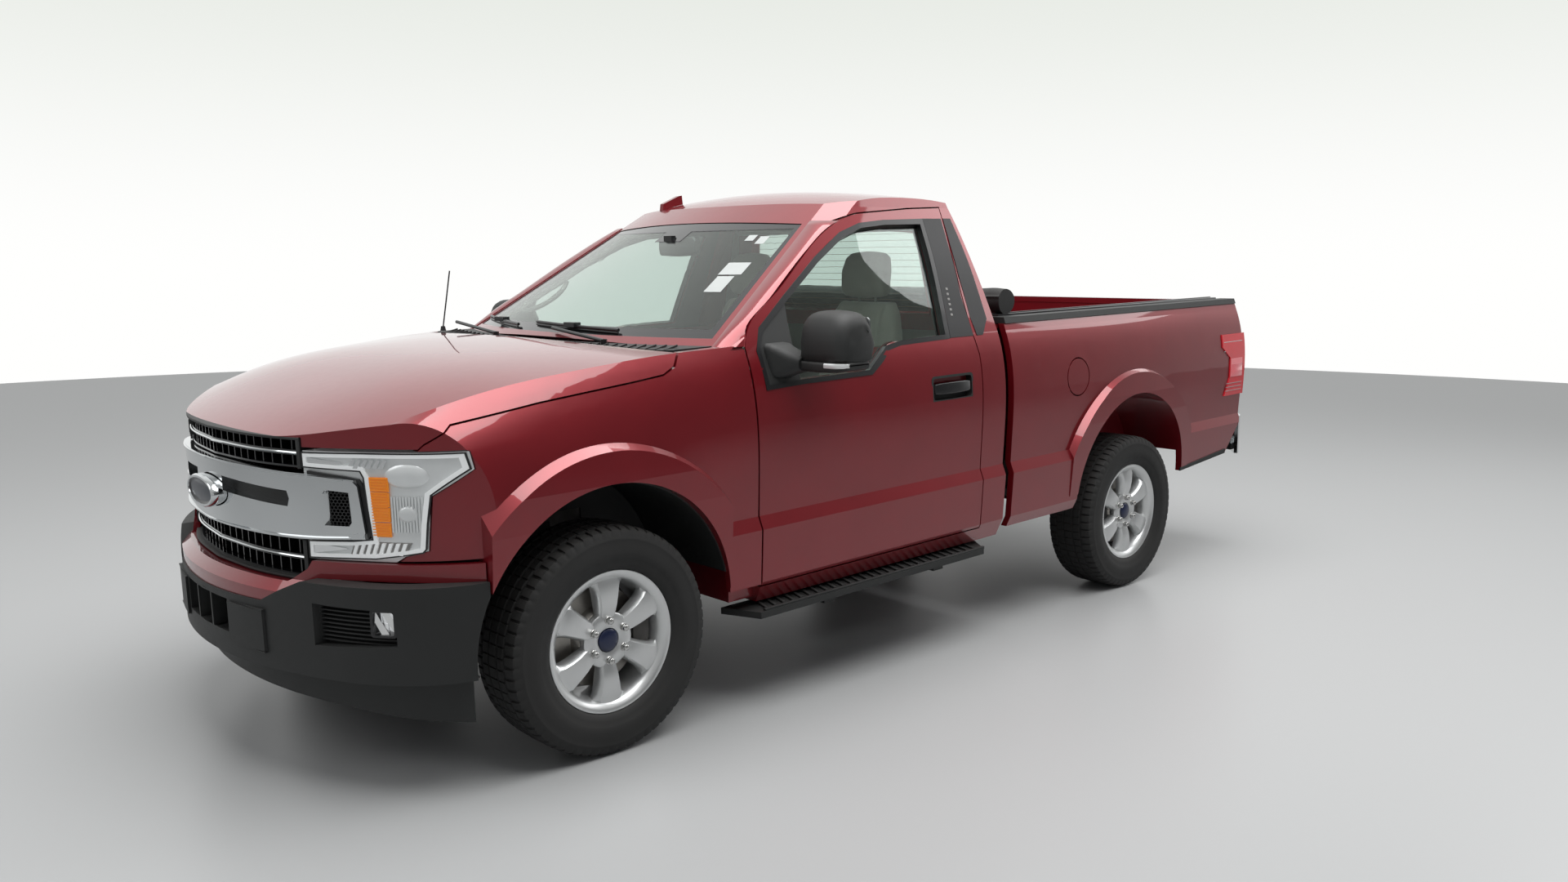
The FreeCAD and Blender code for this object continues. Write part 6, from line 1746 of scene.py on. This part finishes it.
# Seats
@dataclass
class Seats:
    """The cloth seats: each pad is blown up by a cloth simulation and then given its seams."""

    bench: Bench
    voxel: float = 0.0088
    pressure: float = 4.0
    frames: int = 20
    swell: float = 0.012
    sink: float = 0.006

    def build(self) -> None:
        """Makes the left-hand pads, their right-hand twins and the middle seat."""
        cushion = self._lying([(-30, (150, 640), (630, 792), 52), (60, (138, 628), (642, 798), 60),
                               (250, (134, 622), (646, 802), 60), (420, (138, 628), (642, 810), 60),
                               (482, (152, 650), (628, 792), 50)])
        backrest = self._standing([(700, 44, -26, 146, 634), (780, 46, -50, 138, 642),
                                   (1000, 4, -98, 140, 640), (1200, -34, -130, 160, 620),
                                   (1350, -62, -150, 196, 584), (1402, -84, -150, 230, 550)])
        headrest = self._standing([(1418, -66, -140, 272, 508), (1450, -52, -150, 262, 518),
                                   (1530, -56, -158, 262, 518), (1585, -72, -166, 274, 506),
                                   (1606, -92, -154, 298, 482)])
        for name, mesh, channels in (("cushion", cushion, (255.0, 525.0)),
                                     ("backrest", backrest, (262.0, 518.0)), ("headrest", headrest, ())):
            pad = self._pad("seat_" + name + "_left", mesh, channels)
            self._twin(pad, "seat_" + name + "_right")
        middle = self._pad("seat_middle", self._lying([(-24, (-112, 640), (112, 780), 40),
                                                       (200, (-118, 640), (118, 790), 44),
                                                       (438, (-112, 640), (112, 784), 40)]), ())
        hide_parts("seat")
        self.bench.piece(self._base(), "seat_base", "chassis", "trim_grey")

    def _lying(self, levels: Sequence) -> Mesh:
        """Makes the blank of a pad that lies flat.

        Args:
            levels: place along the truck, low and high corner of the section, and corner radius.

        Returns: the mesh.
        """
        bm = bmesh.new()
        loft(bm, [[(x, y, z) for y, z in rounded_ring(low, high, radius, 6)]
                  for x, low, high, radius in levels])
        return bm

    def _standing(self, levels: Sequence) -> Mesh:
        """Makes the blank of a pad that stands up.

        Args:
            levels: height, front, back, and both sides of the section.

        Returns: the mesh.
        """
        bm = bmesh.new()
        rings = []
        for z, front, back, y_low, y_high in levels:
            ring = rounded_ring((back, y_low), (front, y_high), min(40.0, (front - back) / 2 - 2), 6)
            rings.append([(x, y, z) for x, y in ring])
        loft(bm, rings)
        return bm

    def _pad(self, name: str, bm: Mesh, channels: Sequence[float]) -> bpy.types.Object:
        """Blows a blank up into a pad and sinks its sewn channels.

        Args:
            name: the pad's name.
            bm: the blank.
            channels: distances from the middle at which lengthwise channels run, in millimetres.

        Returns: the finished pad.
        """
        pad = self.bench.piece(bm, name, "chassis", "seat_cloth", smooth=180.0)
        remesh = pad.modifiers.new("even", "REMESH")
        remesh.mode = "VOXEL"
        remesh.voxel_size = self.voxel
        self._apply(pad)
        still = [vert.co.copy() for vert in pad.data.vertices]
        self._blow(pad)
        for vert, first in zip(pad.data.vertices, still):
            moved = vert.co - first
            if moved.length > self.swell:
                vert.co = first + moved.normalized() * self.swell
        for vert in pad.data.vertices:
            y = vert.co.y * 1000.0
            for channel in channels:
                near = math.exp(-((y - channel) / 7.0) ** 2)
                vert.co -= vert.normal * self.sink * near
        pad.data.shade_smooth()
        self._soften(pad)
        return pad

    def _soften(self, item: bpy.types.Object) -> None:
        """Rounds a pad's facets."""
        smooth = item.modifiers.new("round", "SUBSURF")
        smooth.levels = 1
        smooth.render_levels = smooth.levels

    def _blow(self, pad: bpy.types.Object) -> None:
        """Runs the cloth simulation on a pad and keeps its last frame."""
        cloth = pad.modifiers.new("blow", "CLOTH")
        cloth.settings.use_pressure = True
        cloth.settings.uniform_pressure_force = self.pressure
        cloth.settings.effector_weights.gravity = 0.0
        cloth.settings.quality = 4
        cloth.collision_settings.use_self_collision = False
        cloth.point_cache.frame_start = 1
        cloth.point_cache.frame_end = self.frames
        scene = bpy.context.scene
        for frame in range(1, self.frames + 1):
            scene.frame_set(frame)
            bpy.context.view_layer.update()
        self._apply(pad)
        scene.frame_set(1)

    def _apply(self, item: bpy.types.Object) -> None:
        """Keeps what the modifiers make of an item as its mesh."""
        depsgraph = bpy.context.evaluated_depsgraph_get()
        mesh = bpy.data.meshes.new_from_object(item.evaluated_get(depsgraph))
        old = item.data
        item.modifiers.clear()
        item.data = mesh
        bpy.data.meshes.remove(old)

    def _twin(self, pad: bpy.types.Object, name: str) -> None:
        """Makes a pad's mirror image across the truck's middle."""
        bm = bmesh.new()
        bm.from_mesh(pad.data)
        bmesh.ops.scale(bm, vec=(1.0, -1.0, 1.0), verts=bm.verts)
        bmesh.ops.reverse_faces(bm, faces=bm.faces)
        self._soften(self.bench.show(bm, name, "chassis", "seat_cloth"))

    def _base(self) -> Mesh:
        """Makes the seats' frames on the floor and the head rests' posts."""
        bm = bmesh.new()
        for side in (-1.0, 1.0):
            block(bm, (-10, min(side * 160, side * 620), 496), (450, max(side * 160, side * 620), 640))
            for y in (340, 440):
                tube(bm, [(-110, side * y, 1390), (-112, side * y, 1430)], 6, 2, False)
        block(bm, (0, -100, 650), (420, 100, 660))
        round_edges(bm, 8.0, 2)
        return bm


# Behind the cab
@dataclass
class BedDress:
    """What dresses the load bed, its cover, lamps, bumper and the running boards."""

    bench: Bench
    rib_pitch: float = 44.0
    roll_centre: Flat = (-545.0, 1384.5)
    straps: tuple[int, ...] = (-520, 0, 520)

    def build(self) -> None:
        """Makes the bed's and the boards' pieces."""
        piece = self.bench.piece
        roll = piece(self._roll(), "rolled_cover", "chassis", "cover_vinyl", smooth=60.0)
        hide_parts("tonneau_roll")
        piece(self._straps(), "cover_straps", "chassis", "satin_black")
        piece(self._cover_rails(), "cover_rails", "chassis", "satin_black")
        piece(self._bed_ribs(), "bed_floor_ribs", "chassis", "moulded_black")
        piece(self._step_ribs(), "step_ribs", "chassis", "moulded_black")
        piece(self._lower_strip(), "bedside_lower_strips", "chassis", "moulded_black")
        piece(self._lamp_lenses(), "tail_lamp_lenses", "chassis", "pink_lens")
        piece(self._lamp_lines(), "tail_lamp_lines", "chassis", "reflector")
        piece(self._bumper_pad(), "rear_bumper_pad", "chassis", "moulded_black")
        piece(self._handle(), "tailgate_handle", "tailgate", "moulded_black")
        piece(self._plate(), "blank_plate", "chassis", "blank_label")

    def _roll(self) -> Mesh:
        """Makes the rolled vinyl cover with its uneven turns."""
        bm = bmesh.new()
        x, z = self.roll_centre
        rings = []
        for y in stepped(-832, 832, 16):
            ring = []
            for n in range(48):
                turn = math.tau * n / 48
                wave = 1.6 * math.sin(y * 0.021 + 3 * turn) + 1.2 * math.sin(y * 0.047 + turn * 2)
                pinch = 5.0 * sum(math.exp(-((y - at) / 16) ** 2) for at in self.straps)
                lap = 5.0 if 0.3 < turn < 0.42 else 0.0
                radius = 57 + wave - pinch + lap
                ring.append((x + radius * math.cos(turn), y, z + radius * math.sin(turn)))
            rings.append(ring)
        loft(bm, rings)
        return bm

    def _straps(self) -> Mesh:
        """Makes the straps that hold the roll."""
        bm = bmesh.new()
        x, z = self.roll_centre
        for y in self.straps:
            rings = []
            for n in range(33):
                turn = math.tau * n / 32
                rings.append([(x + r * math.cos(turn), y + a, z + r * math.sin(turn))
                              for r, a in ((54, -14), (57, -14), (57, 14), (54, 14))])
            loft(bm, rings, caps=False)
        return bm

    def _cover_rails(self) -> Mesh:
        """Makes the cover's side rails along the insides of the bed."""
        bm = bmesh.new()
        block(bm, (-2440, 800, 1292), (-480, 838, 1330))
        block(bm, (-2440, 792, 1322), (-480, 806, 1334))
        round_edges(bm, 3.0, 2)
        mirror_over_middle(bm)
        return bm

    def _bed_ribs(self) -> Mesh:
        """Makes the lengthwise ribs of the bed's floor."""
        bm = bmesh.new()
        for y in stepped(-600, 600, 80):
            block(bm, (-2400, y - 18, 760), (-470, y + 18, 768))
        round_edges(bm, 3.0, 1)
        return bm

    def _step_ribs(self) -> Mesh:
        """Makes the slanted treads on the running boards and their rims."""
        bm = bmesh.new()
        x = -170.0
        while x < 1040.0:
            slab(bm, [(x, 884, 353), (x + 13, 884, 353), (x + 47, 986, 353), (x + 34, 986, 353)], (0, 0, 9))
            x += self.rib_pitch
        block(bm, (-180, 992, 348), (1080, 1006, 362))
        block(bm, (-236, 866, 348), (1130, 878, 358))
        round_edges(bm, 2.5, 2)
        mirror_over_middle(bm)
        return bm

    def _lower_strip(self) -> Mesh:
        """Makes the black edge under the bedside behind the wheel."""
        bm = bmesh.new()
        SIDE.ribbon(bm, [(-1868, 452), (-2336, 488)], [(-1868, 470), (-2336, 512)], -4, 2.5, joined_up=False)
        mirror_over_middle(bm)
        return bm

    def _lamp_lenses(self) -> Mesh:
        """Makes the paler lens in the middle of each tail lamp."""
        bm = bmesh.new()
        SIDE.ribbon(bm, [(-2352, 905), (-2352, 1005)], [(-2478, 905), (-2478, 1005)], 2, 8, joined_up=False)
        round_edges(bm, 2.0, 2)
        mirror_over_middle(bm)
        return bm

    def _lamp_lines(self) -> Mesh:
        """Makes the bright lines in the tail lamps' upper and lower parts."""
        bm = bmesh.new()
        for z in (830, 850, 870, 1045, 1070, 1095):
            front = -2306 if z < 900 else -2276
            SIDE.ribbon(bm, [(front, z), (front, z + 3)], [(-2480, z), (-2480, z + 3)], 4, 7.2,
                        joined_up=False)
        mirror_over_middle(bm)
        return bm

    def _bumper_pad(self) -> Mesh:
        """Makes the ribbed black pad on the rear bumper's top."""
        bm = bmesh.new()
        block(bm, (-2640, -690, 672), (-2520, 690, 677))
        for y in stepped(-660, 660, 44):
            block(bm, (-2632, y - 8, 676), (-2528, y + 8, 681))
        round_edges(bm, 1.5, 1)
        return bm

    def _handle(self) -> Mesh:
        """Makes the tailgate's handle in its bezel."""
        bm = bmesh.new()
        ring = rounded_ring((-150, 1188), (150, 1262), 16)
        inner = rounded_ring((-128, 1202), (128, 1250), 12)
        x = -2483.0
        loft(bm, [[(x + out, y, z) for y, z in edge]
                  for out, edge in ((0, ring), (-6, ring), (-6, inner), (4, inner))])
        levels = [(-110, 1216, 1236), (-96, 1212, 1240), (96, 1212, 1240), (110, 1216, 1236)]
        loft(bm, [[(x + 2 - a, y, z) for a, z in rounded_ring((0, low), (10, high), 4, 3)]
                  for y, low, high in levels])
        return bm

    def _plate(self) -> Mesh:
        """Makes the blank number plate in the rear bumper."""
        bm = bmesh.new()
        ring = rounded_ring((-150, 488), (150, 638), 12)
        slab(bm, [(-2650.5, y, z) for y, z in ring], (-1.5, 0, 0))
        return bm


# Studio
@dataclass
class Studio:
    """Floor, light and camera, plain enough to show the truck as it is."""

    camera_at: Point = (3.8480, 4.0887, 1.5782)
    yaw: float = -132.826
    pitch: float = -8.189
    lens: float = 27.44
    floor_colour: Point = (0.385, 0.39, 0.39)
    floor_radius: float = 15.5
    floor_roughness: float = 0.36
    ambient: float = 0.32
    soft_colour: tuple = (0.95, 0.97, 1.0, 1.0)
    mirrored_colour: tuple = (0.97, 0.98, 0.97, 1.0)
    backdrop_low: tuple = (1.0, 1.0, 0.99, 1.0)
    backdrop_high: tuple = (0.78, 0.81, 0.76, 1.0)
    look_at: Point = (0.3, 0.0, 0.6)
    lamps: tuple = (("overhead", (0.5, 1.5, 6.5), 7.0, 620.0), ("fill", (6.5, -2.0, 5.0), 5.0, 110.0),
                    ("back", (-6.5, 3.0, 5.0), 4.0, 110.0))

    def build(self) -> None:
        """Makes the floor, the world, the lamps and the camera."""
        self._floor()
        self._world()
        for lamp in self.lamps:
            self._lamp(*lamp)
        self._camera()

    def _floor(self) -> None:
        """A broad pale floor that keeps the truck's shadow."""
        bm = bmesh.new()
        bmesh.ops.create_circle(bm, cap_ends=True, segments=96, radius=self.floor_radius)
        mesh = bpy.data.meshes.new("floor")
        bm.to_mesh(mesh)
        bm.free()
        material = bpy.data.materials.new("pale_floor")
        material.use_nodes = True
        shader = material.node_tree.nodes["Principled BSDF"]
        shader.inputs["Roughness"].default_value = self.floor_roughness
        shader.inputs["Base Color"].default_value = (*self.floor_colour, 1.0)
        mesh.materials.append(material)
        floor = bpy.data.objects.new("floor", mesh)
        bpy.context.scene.collection.objects.link(floor)

    def _room(self, patch: Patch, ray: Socket) -> Socket:
        """Gives the room's brightness as paint and chrome mirror it: dim beside the truck, bright elsewhere.

        Args:
            patch: wires the world's node tree.
            ray: the direction looked in.

        Returns: the brightness.
        """
        yaw = math.radians(self.yaw)
        ahead = patch.tree.nodes.new("ShaderNodeVectorMath")
        ahead.operation = "DOT_PRODUCT"
        ahead.inputs[1].default_value = (math.cos(yaw), math.sin(yaw), 0.0)
        patch.tree.links.new(ray, ahead.inputs[0])
        brightest = patch.spread(ahead.outputs["Value"], (0.0, 0.6), (0.10, 1.0), True)
        way = patch.parts(ray)
        for source, given, light in ((way["Z"], (0.35, 0.8), 0.62), (way["X"], (0.0, 0.6), 0.45)):
            brightest = patch.sum("MAXIMUM", brightest, patch.spread(source, given, (0.0, light), True))
        return brightest

    def _world(self) -> None:
        """A white backdrop for the eye, a shaded room for reflections and plain soft light for the rest."""
        world = bpy.data.worlds.new("soft_studio")
        world.use_nodes = True
        bpy.context.scene.world = world
        nodes, links = world.node_tree.nodes, world.node_tree.links
        nodes.clear()
        patch = Patch(world.node_tree)
        ray = nodes.new("ShaderNodeTexCoord").outputs["Generated"]
        fall = patch.spread(patch.parts(ray)["Z"], (0.0, 0.28), (0.0, 1.0), True)
        backdrop = patch.blend(fall, self.backdrop_low, self.backdrop_high)
        grounds = []
        for colour, strength in ((backdrop, 1.0), (self.mirrored_colour, self._room(patch, ray)),
                                 (self.soft_colour, self.ambient)):
            ground = nodes.new("ShaderNodeBackground")
            patch.feed(colour, ground.inputs["Color"])
            patch.feed(strength, ground.inputs["Strength"])
            grounds.append(ground.outputs[0])
        seen, mirrored, soft = grounds
        path = nodes.new("ShaderNodeLightPath").outputs
        either = patch.sum("MAXIMUM", path["Is Camera Ray"], path["Is Transmission Ray"])
        lit = self._choose(patch.tree, path["Is Glossy Ray"], soft, mirrored)
        out = nodes.new("ShaderNodeOutputWorld")
        links.new(self._choose(patch.tree, either, lit, seen), out.inputs["Surface"])

    def _choose(self, tree: bpy.types.NodeTree, *sources: Socket) -> Socket:
        """Mixes two shaders by a first value."""
        mix = tree.nodes.new("ShaderNodeMixShader")
        for source, socket in zip(sources, mix.inputs):
            tree.links.new(source, socket)
        return mix.outputs[0]

    def _lamp(self, name: str, at: Point, size: float, power: float) -> None:
        """Hangs one large soft lamp that looks at the truck."""
        data = bpy.data.lights.new(name, "AREA")
        data.shape = "DISK"
        data.size = size
        data.energy = power
        lamp = bpy.data.objects.new(name, data)
        lamp.location = at
        lamp.rotation_euler = (Vector(self.look_at) - Vector(at)).to_track_quat("-Z", "Y").to_euler()
        bpy.context.scene.collection.objects.link(lamp)

    def _camera(self) -> None:
        """Stands the camera where the photograph was taken from."""
        data = bpy.data.cameras.new("camera")
        data.lens = self.lens
        data.sensor_width = 36.0
        data.clip_end = 200.0
        camera = bpy.data.objects.new("camera", data)
        camera.location = self.camera_at
        yaw, pitch = math.radians(self.yaw), math.radians(self.pitch)
        look = Vector((math.cos(yaw) * math.cos(pitch), math.sin(yaw) * math.cos(pitch), math.sin(pitch)))
        camera.rotation_euler = look.to_track_quat("-Z", "Y").to_euler()
        bpy.context.scene.collection.objects.link(camera)
        bpy.context.scene.camera = camera
        bpy.context.scene.view_settings.view_transform = "Standard"


def main() -> None:
    """Builds the dressed truck piece by piece."""
    logging.basicConfig(level=logging.INFO, format="%(message)s")
    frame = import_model()
    studio = Studio()
    studio.build()
    bench = Bench(frame, Finishes())
    CadCoats(bench).dress()
    for end, x in (("front", FRONT_AXLE), ("rear", REAR_AXLE)):
        for word, side in (("left", 1.0), ("right", -1.0)):
            Wheel(bench, end + "_" + word, (x, side * HALF_TRACK, AXLE_HEIGHT), side).build()
    Grille(bench).build()
    Headlamps(bench).build()
    BumperTrim(bench).build()
    for word, side in (("left", 1.0), ("right", -1.0)):
        DoorDress(bench, word, side).build()
    CabDress(bench).build()
    Seats(bench).build()
    BedDress(bench).build()
    LOG.info("made %d pieces", bench.count)


if __name__ == "__main__":
    main()
